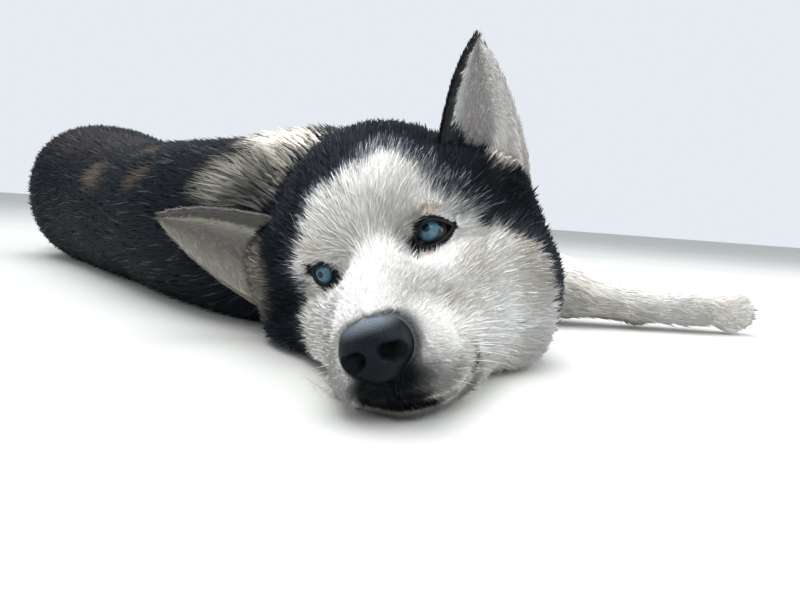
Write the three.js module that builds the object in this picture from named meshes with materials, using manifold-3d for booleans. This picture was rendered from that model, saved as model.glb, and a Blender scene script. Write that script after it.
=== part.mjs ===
// A siberian husky lying on its right side, life size, in millimetres, with +Z up.
// The trunk lies along Y with the head towards -Y, the back towards -X and the legs towards +X.
// Every solid reaches out to the tips of the coat. The floor is z = 0.

import * as THREE from 'three';
import { mergeVertices } from 'three/addons/utils/BufferGeometryUtils.js';
import Module from 'manifold-3d';

const wasm = await Module();
wasm.setup();

// Driving dimensions of the dog, before it is moved to its reference point.
const HEAD_CENTRE = new THREE.Vector3(243.6, 290.8, 74.2);
const HEAD_TURN = THREE.MathUtils.degToRad(46.6);
const HEAD_DIP = THREE.MathUtils.degToRad(3.1);
const HEAD_ROLL = THREE.MathUtils.degToRad(23.5);
const SKULL_HALF_WIDTH = 66;
const MUZZLE_REACH = 112;
const PUPIL_SPACING = 74;
const EYE_RADIUS = 11;
const EYE_RISE = { left: 4, right: 1 };
const EAR_LENGTH_LEFT = 107;
const EAR_LENGTH_RIGHT = 116;
const EAR_HALF_WIDTH = 42;
const EAR_THICKNESS = 6;
const EAR_CURL = 17;
const CHEST_DEPTH = 260;
const LYING_CHEST_HEIGHT = 170;
const RUMP_HEIGHT = 209;
const TRUNK_FRONT = 400;
const TRUNK_BACK = 1140;
const AXIS_HEIGHT = 84;
const PAW_WIDTH = 52;
const CLAW_LENGTH = 15;
const CLAW_RADIUS = 3.4;
const GAP = 0.3;

const SECTION_POWER = 2.3;
const RAY_STEP = 6;

// Head frame: u runs to the dog's left, f forward and w up, from midway between the pupils.
const FORWARD = new THREE.Vector3(
  -Math.cos(HEAD_DIP) * Math.sin(HEAD_TURN),
  -Math.cos(HEAD_DIP) * Math.cos(HEAD_TURN),
  -Math.sin(HEAD_DIP),
);
const LEVEL_LEFT = new THREE.Vector3(-FORWARD.y, FORWARD.x, 0).normalize();
const LEFT = LEVEL_LEFT.clone().applyAxisAngle(FORWARD, HEAD_ROLL);
const UP = FORWARD.clone().cross(LEFT);

function headPoint(u, f, w) {
  return HEAD_CENTRE.clone().addScaledVector(LEFT, u).addScaledVector(FORWARD, f).addScaledVector(UP, w);
}

function headDirection(u, f, w) {
  return headPoint(u, f, w).sub(HEAD_CENTRE).normalize();
}

// Distance shapes. Each returns a distance in millimetres, negative inside.
function blend(a, b, width) {
  const h = Math.max(width - Math.abs(a - b), 0) / width;
  return Math.min(a, b) - h * h * width * 0.25;
}

function carve(a, b, width) {
  return -blend(-a, b, width);
}

function ball(p, centre, radii) {
  const x = p.x - centre[0];
  const y = p.y - centre[1];
  const z = p.z - centre[2];
  const near = Math.hypot(x / radii[0], y / radii[1], z / radii[2]);
  const slope = Math.hypot(x / radii[0] ** 2, y / radii[1] ** 2, z / radii[2] ** 2);
  return slope > 1e-9 ? (near * (near - 1)) / slope : -Math.min(...radii);
}

// A bone with flesh: a round cone between two points, flattened across z where flat is under 1.
function bone(p, a, b, radiusA, radiusB, flatA = 1, flatB = 1) {
  const d = [b[0] - a[0], b[1] - a[1], b[2] - a[2]];
  const q = [p.x - a[0], p.y - a[1], p.z - a[2]];
  const along = (q[0] * d[0] + q[1] * d[1] + q[2] * d[2]) / (d[0] ** 2 + d[1] ** 2 + d[2] ** 2);
  const t = THREE.MathUtils.clamp(along, 0, 1);
  const radius = THREE.MathUtils.lerp(radiusA, radiusB, t);
  const flat = THREE.MathUtils.lerp(flatA, flatB, t);
  const x = q[0] - t * d[0];
  const y = q[1] - t * d[1];
  const z = q[2] - t * d[2];
  const near = Math.hypot(x, y, z / flat);
  const slope = Math.hypot(x, y, z / (flat * flat));
  return slope > 1e-9 ? (near * (near - radius)) / slope : -radius * flat;
}

// The head in its own frame. Twin features are mirrored through |u|.
function headField(world) {
  const r = world.clone().sub(HEAD_CENTRE);
  const p = new THREE.Vector3(r.dot(LEFT), r.dot(FORWARD), r.dot(UP));
  const m = new THREE.Vector3(Math.abs(p.x), p.y, p.z);
  const tip = MUZZLE_REACH;
  let d = ball(p, [0, -54, 18], [SKULL_HALF_WIDTH, 66, 60]);
  d = blend(d, ball(p, [0, -30, 20], [46, 42, 36]), 16);
  d = blend(d, ball(m, [50, -46, 12], [32, 36, 34]), 26);
  d = blend(d, ball(m, [27, -9, 12], [22, 15, 11]), 12);
  d = blend(d, bone(p, [0, -6, -24], [0, tip - 24, -35], 32, 24), 20);
  d = blend(d, bone(p, [0, 2, -6], [0, tip - 14, -24], 15, 11), 12);
  d = blend(d, ball(p, [17, tip - 34, -46], [19, 29, 20]), 10);
  d = blend(d, ball(p, [-14.5, tip - 34, -46], [17, 29, 20]), 10);
  d = blend(d, bone(p, [0, -20, -62], [0, tip - 32, -66], 32, 17), 12);
  d = blend(d, bone(m, [20, tip - 60, -56], [44, -46, -66], 22, 38), 14);
  d = blend(d, bone(m, [20, 22, -34], [56, -44, -34], 22, 36), 20);
  d = blend(d, bone(p, [11, 67, -65], [24, 20, -66], 20, 27), 8);
  d = blend(d, ball(m, [68, -68, -44], [47, 44, 58]), 24);
  d = blend(d, ball(m, [70, -80, 10], [42, 42, 42]), 24);
  d = blend(d, ball(m, [48, -62, -78], [46, 52, 40]), 20);
  d = blend(d, ball(p, [0, -66, -64], [56, 66, 44]), 24);
  d = blend(d, ball(p, [0, -74, 41], [62, 50, 51]), 22);
  // The lower cheek rounds under and clears the floor.
  d = carve(d, bone(p, [-48, 46, -66], [-84, -10, -62], 18, 20), 6);
  d = carve(d, bone(p, [-84, -10, -62], [-120, -52, -54], 20, 23), 6);
  d = carve(d, ball(m, [PUPIL_SPACING / 2 + 2, 17, 2], [21, 17, 11]), 8);
  return blend(d, ball(m, [PUPIL_SPACING / 2 - 1.5, 1 - EYE_RADIUS, 2.5], [12.5, 12.5, 12.5]), 3);
}

// Trunk sections along Y: [y, centre x, centre z, half depth, half height].
const HALF_DEPTH = CHEST_DEPTH / 2;
const TRUNK_SECTIONS = [
  [TRUNK_FRONT, 320, 78, 60, 56],
  [430, 322, 80, 95, 78],
  [480, 322, 77, 122, 88],
  [560, 322, LYING_CHEST_HEIGHT - 94, HALF_DEPTH, 94],
  [640, 322, LYING_CHEST_HEIGHT - 93, HALF_DEPTH, 95],
  [720, 318, 79, 122, 95],
  [800, 305, 80, 108, 94],
  [880, 300, 84, 102, 97],
  [960, 300, 94, 106, 105],
  [1030, 300, RUMP_HEIGHT - 109, 112, 109],
  [1090, 302, 96, 104, 98],
  [TRUNK_BACK, 304, 88, 74, 70],
];

function sectionValue(column, y) {
  const s = TRUNK_SECTIONS;
  const last = s.length - 1;
  const at = THREE.MathUtils.clamp(y, s[0][0], s[last][0]);
  let i = 0;
  while (i < last - 1 && s[i + 1][0] < at) i += 1;
  const slope = (j) => {
    if (j <= 0 || j >= last) return 0;
    return (s[j + 1][column] - s[j - 1][column]) / (s[j + 1][0] - s[j - 1][0]);
  };
  const span = s[i + 1][0] - s[i][0];
  const t = (at - s[i][0]) / span;
  const start = (2 * t ** 3 - 3 * t ** 2 + 1) * s[i][column];
  const end = (-2 * t ** 3 + 3 * t ** 2) * s[i + 1][column];
  const bend = (t ** 3 - 2 * t ** 2 + t) * slope(i) * span + (t ** 3 - t ** 2) * slope(i + 1) * span;
  return start + end + bend;
}

function trunkField(p) {
  const [centreX, centreZ, halfDepth, halfHeight] = [1, 2, 3, 4].map((column) => sectionValue(column, p.y));
  const x = Math.abs(p.x - centreX) / halfDepth;
  const z = Math.abs(p.z - centreZ) / halfHeight;
  const level = (x ** SECTION_POWER + z ** SECTION_POWER) ** (1 / SECTION_POWER);
  const across = (level - 1) * Math.min(halfDepth, halfHeight);
  const over = Math.max(TRUNK_FRONT - p.y, p.y - TRUNK_BACK);
  return across > 0 && over > 0 ? Math.hypot(across, over) : Math.max(across, over);
}

const NECK_HEAD_END = headPoint(0, -118, -4).toArray();
const NECK_CHEST_END = [328, 470, 80];

function neckField(p) {
  return bone(p, NECK_HEAD_END, NECK_CHEST_END, 90, 92);
}

// Limbs: [x, y, z, radius, flatness across z] from the root out to the toes' roots.
const LIMBS = {
  foreleg_left: [
    [350, 470, 106, 58, 1], [425, 430, 94, 46, 1], [463, 405, 76, 38, 1], [545, 350, 38, 28, 1],
    [612, 298, 26, 19, 1], [660, 258, 26, 20, 1.15],
  ],
  foreleg_right: [
    [345, 505, 55, 58, 1], [430, 535, 40, 44, 1], [470, 538, 34, 35, 1], [560, 525, 27, 26, 1],
    [640, 512, 22, 18, 1], [690, 500, 26, 20, 1.15],
  ],
  hindleg_left: [
    [300, 1000, 112, 84, 0.9], [400, 924, 131, 64, 0.58], [445, 896, 120, 48, 0.72], [515, 950, 88, 34, 0.9],
    [585, 1005, 48, 24, 1], [640, 1012, 34, 18, 1], [697, 1002, 26, 20, 1.15],
  ],
  hindleg_right: [
    [305, 1010, 62, 76, 0.8], [395, 982, 35, 56, 0.59], [435, 982, 34, 44, 0.74], [500, 1030, 32, 34, 0.9],
    [560, 1090, 25, 24, 1], [620, 1106, 22, 18, 1], [677, 1104, 26, 20, 1.15],
  ],
};
const TAIL = [
  [285, 1110, 86, 44, 1], [292, 1190, 60, 44, 1], [330, 1270, 46, 45, 1], [390, 1345, 38, 38, 1],
  [440, 1392, 22, 18, 1],
];

// The paw of each limb: where its toes spread from, the way they point and how far they reach.
const PAWS = {
  foreleg_left: { point: [0.78, -0.6, -0.05], reach: 70 },
  foreleg_right: { point: [0.95, -0.28, -0.03], reach: 60 },
  hindleg_left: { point: [0.94, -0.34, -0.04], reach: 60 },
  hindleg_right: { point: [0.95, -0.3, -0.03], reach: 60 },
};
const TOE_COUNT = 4;
const TOE_RADIUS = 11.5;

// Toes lie one above another, as the leg lies on its side.
function toePoints(limb) {
  const root = new THREE.Vector3(...LIMBS[limb].at(-1).slice(0, 3));
  const point = new THREE.Vector3(...PAWS[limb].point).normalize();
  const across = new THREE.Vector3(0, 0, 1).addScaledVector(point, -point.z).normalize();
  const toes = [];
  for (let i = 0; i < TOE_COUNT; i += 1) {
    const spread = (i / (TOE_COUNT - 1) - 0.5) * (PAW_WIDTH - 2 * TOE_RADIUS);
    const middle = i === 1 || i === 2 ? 1 : 0.82;
    const reach = (PAWS[limb].reach - TOE_RADIUS - CLAW_LENGTH * 0.45) * middle;
    const toe = root.clone().addScaledVector(point, reach).addScaledVector(across, spread);
    toes.push(toe);
  }
  return toes;
}
const TOES = {};
for (const limb of Object.keys(LIMBS)) TOES[limb] = toePoints(limb).map((toe) => toe.toArray());

function chainField(p, chain) {
  let d = Infinity;
  for (let i = 0; i + 1 < chain.length; i += 1) {
    const piece = bone(p, chain[i], chain[i + 1], chain[i][3], chain[i + 1][3], chain[i][4], chain[i + 1][4]);
    d = i === 0 ? piece : blend(d, piece, 14);
  }
  return d;
}

function limbField(p, limb) {
  let d = chainField(p, LIMBS[limb]);
  const root = LIMBS[limb].at(-1);
  for (const toe of TOES[limb]) {
    d = blend(d, bone(p, root, toe, TOE_RADIUS * 1.15, TOE_RADIUS), 7);
  }
  return d;
}

// The whole outline: no limb blends with another, and the floor cuts all of them flat.
function bodyField(p) {
  const body = blend(blend(trunkField(p), neckField(p), 40), headField(p), 26);
  let d = body;
  for (const limb of Object.keys(LIMBS)) {
    d = Math.min(d, blend(body, limbField(p, limb), 30));
  }
  d = Math.min(d, blend(body, chainField(p, TAIL), 24));
  return Math.max(d, -p.z);
}

// First point along a ray, from inside, where the field reaches the level.
function surfacePoint(field, origin, direction, reach, level) {
  const p = new THREE.Vector3();
  const valueAt = (t) => field(p.copy(origin).addScaledVector(direction, t)) - level;
  let inner = 0;
  let outer = RAY_STEP;
  while (outer < reach && valueAt(outer) < 0) {
    inner = outer;
    outer += RAY_STEP;
  }
  outer = Math.min(outer, reach);
  for (let i = 0; i < 22; i += 1) {
    const middle = (inner + outer) / 2;
    if (valueAt(middle) < 0) inner = middle;
    else outer = middle;
  }
  const hit = origin.clone().addScaledVector(direction, inner);
  if (Math.abs(hit.z + level) < 0.01) hit.z = -level;
  return hit;
}

// Wraps a sphere's net round an axis and draws it out to the field.
// A ring is [position along the axis 0..1, tilt in degrees towards the axis' far end].
function wrap({
  axis, rings, sides, field = bodyField, reach = 320, level = 0, squareEnds = [true, true], up = [0, 0, 1],
}) {
  const points = axis.map((p) => (p.isVector3 ? p : new THREE.Vector3(...p)));
  const curve = new THREE.CatmullRomCurve3(points, false, 'centripetal');
  const upward = new THREE.Vector3(...up);
  const geometry = new THREE.SphereGeometry(1, sides, rings.length + 1);
  const positions = geometry.attributes.position;
  const rows = rings.length + 2;
  for (let row = 0; row < rows; row += 1) {
    const pole = row === 0 || row === rows - 1;
    const [at, tiltDegrees] = rings[Math.min(Math.max(row - 1, 0), rings.length - 1)];
    const origin = curve.getPoint(at);
    const tangent = curve.getTangent(at);
    const normal = upward.clone().addScaledVector(tangent, -tangent.dot(upward)).normalize();
    const side = tangent.clone().cross(normal);
    const tilt = THREE.MathUtils.degToRad(tiltDegrees);
    for (let column = 0; column <= sides; column += 1) {
      const angle = (2 * Math.PI * (column % sides)) / sides;
      let direction = normal.clone().multiplyScalar(Math.cos(angle) * Math.cos(tilt));
      direction.addScaledVector(side, -Math.sin(angle) * Math.cos(tilt)).addScaledVector(tangent, Math.sin(tilt));
      if (pole) direction = tangent.clone().multiplyScalar(row === 0 ? -1 : 1);
      const square = pole && squareEnds[row === 0 ? 0 : 1];
      const point = square ? origin.clone() : surfacePoint(field, origin, direction, reach, level);
      positions.setXYZ(row * (sides + 1) + column, point.x, point.y, point.z);
    }
  }
  return geometry;
}

function evenRings(from, to, count, tilt = 0) {
  return Array.from({ length: count }, (_, i) => [from + ((to - from) * i) / (count - 1), tilt]);
}

// Solids for joining and cutting.
function solidOf(geometry) {
  const bare = geometry.clone();
  bare.deleteAttribute('normal');
  bare.deleteAttribute('uv');
  const merged = mergeVertices(bare, 1e-4);
  const index = merged.index.array;
  const triangles = [];
  for (let i = 0; i < index.length; i += 3) {
    const [a, b, c] = [index[i], index[i + 1], index[i + 2]];
    if (a !== b && b !== c && c !== a) triangles.push(a, b, c);
  }
  const mesh = new wasm.Mesh({
    numProp: 3,
    vertProperties: new Float32Array(merged.attributes.position.array),
    triVerts: new Uint32Array(triangles),
  });
  return new wasm.Manifold(mesh);
}

// The mesh of a solid's largest piece: slivers that a cut leaves behind are dropped.
function geometryOf(solid) {
  const pieces = solid.decompose().sort((a, b) => b.volume() - a.volume());
  const mesh = pieces[0].getMesh();
  const geometry = new THREE.BufferGeometry();
  geometry.setAttribute('position', new THREE.BufferAttribute(new Float32Array(mesh.vertProperties), 3));
  geometry.setIndex(new THREE.BufferAttribute(new Uint32Array(mesh.triVerts), 1));
  geometry.computeVertexNormals();
  return geometry;
}

// A block whose face lies on a plane and which fills the side that the normal points to.
function blockBeyond(point, normal, width = 900, depth = 700) {
  const block = new THREE.BoxGeometry(width, width, depth);
  const direction = normal.clone().normalize();
  block.translate(0, 0, depth / 2);
  block.applyQuaternion(new THREE.Quaternion().setFromUnitVectors(new THREE.Vector3(0, 0, 1), direction));
  block.translate(point.x, point.y, point.z);
  return solidOf(block);
}

// Cuts away what lies beyond each plane, half a gap short of it.
function trim(solid, planes) {
  let result = solid;
  for (const { at, normal, width, depth } of planes) {
    const direction = normal.clone().normalize();
    const face = at.clone().addScaledVector(direction, -GAP / 2);
    result = result.subtract(blockBeyond(face, direction, width, depth));
  }
  return result;
}
const flip = (plane) => ({ ...plane, normal: plane.normal.clone().negate() });

// Planes that part the body.
const HEAD_BACK = { at: headPoint(0, -88, 0), normal: FORWARD.clone().negate() };
const NECK_BACK = { at: new THREE.Vector3(322, 436, 80), normal: new THREE.Vector3(0.5, 0.866, 0) };
const CHEST_BACK = { at: new THREE.Vector3(310, 690, 80), normal: new THREE.Vector3(0, 1, 0) };
const LOIN_BACK = { at: new THREE.Vector3(310, 880, 80), normal: new THREE.Vector3(0, 1, 0) };
const MUZZLE_BACK = { at: headPoint(0, 14, 0), normal: FORWARD.clone().negate() };
const MOUTH = { at: headPoint(0, 60, -62), normal: headDirection(0, -0.08, -1) };
const TAIL_ROOT = { at: new THREE.Vector3(288, 1142, 76), normal: new THREE.Vector3(0.06, 0.95, -0.3) };

// Where each limb leaves the body. Its block is only as wide as the limb.
const ROOTS = {
  foreleg_left: { at: new THREE.Vector3(436, 424, 90), normal: new THREE.Vector3(0.86, -0.44, -0.2), width: 220 },
  foreleg_right: { at: new THREE.Vector3(444, 536, 40), normal: new THREE.Vector3(1, 0.02, 0), width: 150 },
  hindleg_left: { at: new THREE.Vector3(412, 922, 120), normal: new THREE.Vector3(0.97, -0.25, 0), width: 176 },
  hindleg_right: { at: new THREE.Vector3(412, 972, 40), normal: new THREE.Vector3(1, -0.1, 0), width: 150 },
};

const BLACK = { color: 0x24242b, roughness: 0.9, metalness: 0 };
const GREY = { color: 0x4a474c, roughness: 0.9, metalness: 0 };
const WHITE = { color: 0xe6e2dc, roughness: 0.9, metalness: 0 };
const NOSE_LOOK = { color: 0x1b1d24, roughness: 0.45, metalness: 0 };
const EYE_LOOK = { color: 0x7fa3bd, roughness: 0.1, metalness: 0 };
const CLAW_LOOK = { color: 0x8b8178, roughness: 0.5, metalness: 0 };

const husky = new THREE.Group();

function addPart(name, geometry, look) {
  const mesh = new THREE.Mesh(geometry, new THREE.MeshStandardMaterial(look));
  mesh.name = name;
  husky.add(mesh);
  return mesh;
}

// Head, muzzle and lower jaw, with sockets for the eyes and a seat for the nose.
const HEAD_AXIS = [headPoint(0, -120, -20), headPoint(0, MUZZLE_REACH - 22, -42)];
const HEAD_RINGS = [...evenRings(0, 1, 18), [1, 25], [1, 55]];

function headShell(level = 0) {
  const squareEnds = [true, false];
  return solidOf(wrap({ axis: HEAD_AXIS, rings: HEAD_RINGS, sides: 32, squareEnds, up: UP.toArray(), level }));
}

function eyeCentre(side) {
  const rise = side > 0 ? EYE_RISE.left : EYE_RISE.right;
  return headPoint((side * PUPIL_SPACING) / 2 - side * 1.5, -EYE_RADIUS + 1, rise);
}

function eyeBall(side, radius = EYE_RADIUS) {
  const eye = new THREE.SphereGeometry(radius, 12, 8);
  const centre = eyeCentre(side);
  eye.translate(centre.x, centre.y, centre.z);
  return solidOf(eye);
}

const NOSE_CENTRE = [0, MUZZLE_REACH - 13, -31.5];
const NOSE_RADII = [19, 16, 16.5];

function nosePad(growth = 0) {
  const pad = new THREE.SphereGeometry(1, 12, 8);
  const p = pad.attributes.position;
  for (let i = 0; i < p.count; i += 1) {
    const narrow = 1 - 0.28 * Math.max(0, -p.getZ(i));
    const point = headPoint(
      NOSE_CENTRE[0] + p.getX(i) * (NOSE_RADII[0] + growth) * narrow,
      NOSE_CENTRE[1] - p.getY(i) * (NOSE_RADII[1] + growth),
      NOSE_CENTRE[2] + p.getZ(i) * (NOSE_RADII[2] + growth),
    );
    p.setXYZ(i, point.x, point.y, point.z);
  }
  return solidOf(pad);
}

function nostril(side) {
  const hole = new THREE.CapsuleGeometry(3.4, 9, 2, 6);
  hole.rotateZ(side * 0.75);
  hole.applyMatrix4(new THREE.Matrix4().makeBasis(LEFT, UP, FORWARD));
  const at = headPoint(side * 9.5, NOSE_CENTRE[1] + 13.5, -32);
  hole.translate(at.x, at.y, at.z);
  return solidOf(hole);
}

// The hollow that opens round the front of each eye.
function orbit(side) {
  const hollow = new THREE.SphereGeometry(1, 9, 6);
  hollow.scale(15, 11, 14);
  hollow.applyMatrix4(new THREE.Matrix4().makeBasis(LEFT, UP, FORWARD));
  const rise = side > 0 ? EYE_RISE.left : EYE_RISE.right;
  const at = headPoint(side * (PUPIL_SPACING / 2 + 1), 9, rise);
  hollow.translate(at.x, at.y, at.z);
  return solidOf(hollow);
}

let skull = headShell();
for (const side of [-1, 1]) {
  skull = skull.subtract(orbit(side)).subtract(eyeBall(side, EYE_RADIUS + GAP));
}
skull = skull.subtract(nosePad(GAP));
addPart('head', geometryOf(trim(skull, [HEAD_BACK, flip(MUZZLE_BACK)])), GREY);
addPart('muzzle', geometryOf(trim(skull, [MUZZLE_BACK, MOUTH])), WHITE);
addPart('lower_jaw', geometryOf(trim(skull, [MUZZLE_BACK, flip(MOUTH)])), WHITE);
addPart('nose', geometryOf(nosePad().subtract(nostril(-1)).subtract(nostril(1))), NOSE_LOOK);
for (const [side, name] of [[1, 'eye_left'], [-1, 'eye_right']]) {
  addPart(name, geometryOf(eyeBall(side)), EYE_LOOK);
}

// Ears: a cupped leaf whose hollow side looks forward.
function earGeometry({ base, tip, across, length }) {
  const rows = 10;
  const columns = 12;
  const ear = new THREE.SphereGeometry(1, columns, rows);
  const root = headPoint(...base);
  const along = headPoint(...tip).sub(root).normalize();
  const width = headDirection(...across);
  width.addScaledVector(along, -width.dot(along)).normalize();
  const back = width.clone().cross(along);
  const p = ear.attributes.position;
  for (let row = 0; row <= rows; row += 1) {
    const h = row / rows;
    const half = EAR_HALF_WIDTH * (1 - h ** 1.7) * (1 - 0.12 * (1 - h)) + 1.2;
    const hollow = EAR_CURL * (1 - h) ** 0.7;
    const pole = row === 0 || row === rows;
    for (let column = 0; column <= columns; column += 1) {
      const angle = (2 * Math.PI * (column % columns)) / columns;
      const s = pole ? 0 : Math.cos(angle);
      const thickness = (pole ? 0 : Math.sin(angle)) * (EAR_THICKNESS / 2) * (1 - 0.55 * h);
      const at = root.clone().addScaledVector(along, h * length).addScaledVector(width, s * half);
      at.addScaledVector(back, thickness + hollow * (1 - s * s));
      p.setXYZ(row * (columns + 1) + column, at.x, at.y, at.z);
    }
  }
  return ear;
}

const EARS = {
  ear_left: { base: [77, -66, 13], tip: [107, -60, 121], across: [-0.84, 0.48, 0.24], length: EAR_LENGTH_LEFT },
  ear_right: {
    base: [-72, -64, 2], tip: [-158, -62, 80], across: [-0.5, -0.25, -0.86], length: EAR_LENGTH_RIGHT,
  },
};
const grownHead = headShell(GAP);
for (const [name, shape] of Object.entries(EARS)) {
  addPart(name, geometryOf(solidOf(earGeometry(shape)).subtract(grownHead)), GREY);
}

// Neck and trunk.
const rootPlane = (limb) => ({ depth: 500, ...ROOTS[limb] });
const neck = solidOf(wrap({
  axis: [headPoint(0, -60, -6), headPoint(0, -95, -4), [312, 400, 80], [330, 480, 80]],
  rings: evenRings(0, 1, 9),
  sides: 28,
}));
addPart('neck', geometryOf(trim(neck, [flip(HEAD_BACK), NECK_BACK, rootPlane('foreleg_left')])), BLACK);

const TRUNK_AXIS = [[310, 300, AXIS_HEIGHT], [310, 1100, AXIS_HEIGHT]];

function trunkPiece(from, to, count, planes, roundEnd = false) {
  const along = (y) => (y - TRUNK_AXIS[0][1]) / (TRUNK_AXIS[1][1] - TRUNK_AXIS[0][1]);
  const rings = evenRings(along(from), along(to), count);
  if (roundEnd) rings.push([along(to), 25], [along(to), 48], [along(to), 70]);
  const shell = wrap({ axis: TRUNK_AXIS, rings, sides: 28, squareEnds: [true, !roundEnd], reach: 200 });
  return trim(solidOf(shell), planes);
}

addPart('chest', geometryOf(trunkPiece(370, 700, 14, [
  flip(NECK_BACK), CHEST_BACK, rootPlane('foreleg_left'), rootPlane('foreleg_right'),
])), BLACK);
addPart('loin', geometryOf(trunkPiece(680, 890, 7, [
  flip(CHEST_BACK), LOIN_BACK, rootPlane('hindleg_left'),
])), BLACK);
addPart('hindquarters', geometryOf(trunkPiece(870, 1080, 9, [
  flip(LOIN_BACK), rootPlane('hindleg_left'), rootPlane('hindleg_right'), TAIL_ROOT,
], true)), BLACK);

// Claws: short cones past the toes.
function clawGeometry(limb, index, growth = 0) {
  const toe = new THREE.Vector3(...TOES[limb][index]);
  const point = new THREE.Vector3(...PAWS[limb].point).normalize();
  const claw = new THREE.ConeGeometry(CLAW_RADIUS + growth, CLAW_LENGTH + 2 * growth, 6);
  claw.translate(0, CLAW_LENGTH / 2, 0);
  claw.applyQuaternion(new THREE.Quaternion().setFromUnitVectors(new THREE.Vector3(0, 1, 0), point));
  const root = toe.addScaledVector(point, TOE_RADIUS * 0.4);
  claw.translate(root.x, root.y, root.z);
  return claw;
}

// A limb is drawn in lengths, each round its own straight run of the chain, parted at its joints
// and freed from the body at its root. A length is [name, first point, last point, rings].
const LENGTHS = {
  foreleg: [['forearm', 1, 4, 11], ['forepaw', 4, 5, 6]],
  hindleg: [['thigh', 1, 2, 5], ['shank', 2, 4, 8], ['hindpaw', 4, 6, 9]],
};
const OVERRUN = 26;

function limbShell(limb, first, last, ringCount) {
  const body = (p) => blend(blend(trunkField(p), neckField(p), 40), headField(p), 26);
  const field = (p) => Math.max(blend(body(p), limbField(p, limb), 30), -p.z);
  const axis = LIMBS[limb].slice(first, last + 1).map((point) => new THREE.Vector3(...point.slice(0, 3)));
  const toPaw = last === LIMBS[limb].length - 1;
  const point = new THREE.Vector3(...PAWS[limb].point).normalize();
  const lead = axis[0].clone().sub(axis[1]).normalize();
  const end = axis.at(-1).clone();
  if (toPaw) end.addScaledVector(point, PAWS[limb].reach * 0.5);
  else end.addScaledVector(end.clone().sub(axis.at(-2)).normalize(), OVERRUN);
  axis.unshift(axis[0].clone().addScaledVector(lead, OVERRUN));
  axis.push(end);
  const rings = evenRings(0, 1, ringCount);
  if (toPaw) rings.push([1, 26], [1, 56]);
  return solidOf(wrap({ axis, rings, sides: 13, field, reach: 72, squareEnds: [true, !toPaw] }));
}

function jointPlane(limb, index) {
  const pointAt = (i) => new THREE.Vector3(...LIMBS[limb][i].slice(0, 3));
  const [before, at, after] = [pointAt(index - 1), pointAt(index), pointAt(index + 1)];
  return { at, normal: after.sub(before), width: 900, depth: 900 };
}

for (const limb of Object.keys(LIMBS)) {
  const [kind, side] = limb.split('_');
  const lengths = LENGTHS[kind];
  lengths.forEach(([name, first, last, ringCount], i) => {
    const walls = [flip({ ...ROOTS[limb], width: 900, depth: 400 })];
    if (i > 0) walls.push(flip(jointPlane(limb, first)));
    if (i < lengths.length - 1) walls.push(jointPlane(limb, last));
    let solid = trim(limbShell(limb, first, last, ringCount), walls);
    if (i === lengths.length - 1) {
      for (let k = 0; k < TOE_COUNT; k += 1) {
        solid = solid.subtract(solidOf(clawGeometry(limb, k, GAP)));
      }
    }
    addPart(`${name}_${side}`, geometryOf(solid), kind === 'foreleg' ? WHITE : GREY);
  });
  for (let i = 0; i < TOE_COUNT; i += 1) {
    addPart(`claw_${limb}_${i + 1}`, geometryOf(solidOf(clawGeometry(limb, i))), CLAW_LOOK);
  }
}

// Tail, laid on the floor behind the rump.
const tailField = (p) => Math.max(blend(trunkField(p), chainField(p, TAIL), 24), -p.z);
const tail = solidOf(wrap({
  axis: TAIL.map((point) => point.slice(0, 3)),
  rings: [...evenRings(0, 1, 14), [1, 30], [1, 60]],
  sides: 16,
  field: tailField,
  reach: 80,
  squareEnds: [true, false],
}));
const TAIL_MIDDLE = {
  at: new THREE.Vector3(330, 1270, 46),
  normal: new THREE.Vector3(0.55, 0.83, 0),
};
addPart('tail_root', geometryOf(trim(tail, [flip(TAIL_ROOT), TAIL_MIDDLE])), BLACK);
addPart('tail_end', geometryOf(trim(tail, [flip(TAIL_MIDDLE)])), WHITE);

// The reference point: the middle of the bounding box, on the floor.
const extent = new THREE.Box3().setFromObject(husky);
const middle = extent.getCenter(new THREE.Vector3());
husky.position.set(-middle.x, -middle.y, 0);
husky.updateMatrixWorld(true);

export default husky;
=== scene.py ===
"""A siberian husky lying on its right side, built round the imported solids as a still, life-size model.

One skin replaces the solids of flesh. Solid tufts of hair grow from it, and the eyes, nose, claws,
lids, pads and whiskers are pieces of their own. Sizes are in millimetres in the dog's own frame until
a mesh is made, and metres in the row's frame from then on.
"""
import logging
import math
from dataclasses import dataclass
from enum import Enum
from typing import Callable

import bmesh
import bpy
import numpy as np
from mathutils import Matrix, Vector


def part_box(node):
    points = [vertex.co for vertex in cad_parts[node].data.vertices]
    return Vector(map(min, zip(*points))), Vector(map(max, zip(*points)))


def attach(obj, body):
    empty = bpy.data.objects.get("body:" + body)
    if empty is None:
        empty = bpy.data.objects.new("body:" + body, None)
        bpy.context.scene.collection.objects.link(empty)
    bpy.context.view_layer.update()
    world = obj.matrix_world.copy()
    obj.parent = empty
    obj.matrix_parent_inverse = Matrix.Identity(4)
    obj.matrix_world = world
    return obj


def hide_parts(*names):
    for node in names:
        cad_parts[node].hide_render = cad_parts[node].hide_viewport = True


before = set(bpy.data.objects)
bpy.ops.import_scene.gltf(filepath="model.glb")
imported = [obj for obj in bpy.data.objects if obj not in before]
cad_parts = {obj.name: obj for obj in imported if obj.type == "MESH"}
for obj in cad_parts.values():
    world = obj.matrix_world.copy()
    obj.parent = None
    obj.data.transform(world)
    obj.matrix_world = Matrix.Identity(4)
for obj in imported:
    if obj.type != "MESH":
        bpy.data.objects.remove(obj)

LOG = logging.getLogger("husky")
Array = np.ndarray
Colour = tuple[float, float, float]
BODY = "root"
MM = 0.001


def unit(v: Array) -> Array:
    """Vectors scaled to length one along their last axis."""
    return v / np.maximum(np.linalg.norm(v, axis=-1, keepdims=True), 1e-9)


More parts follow.
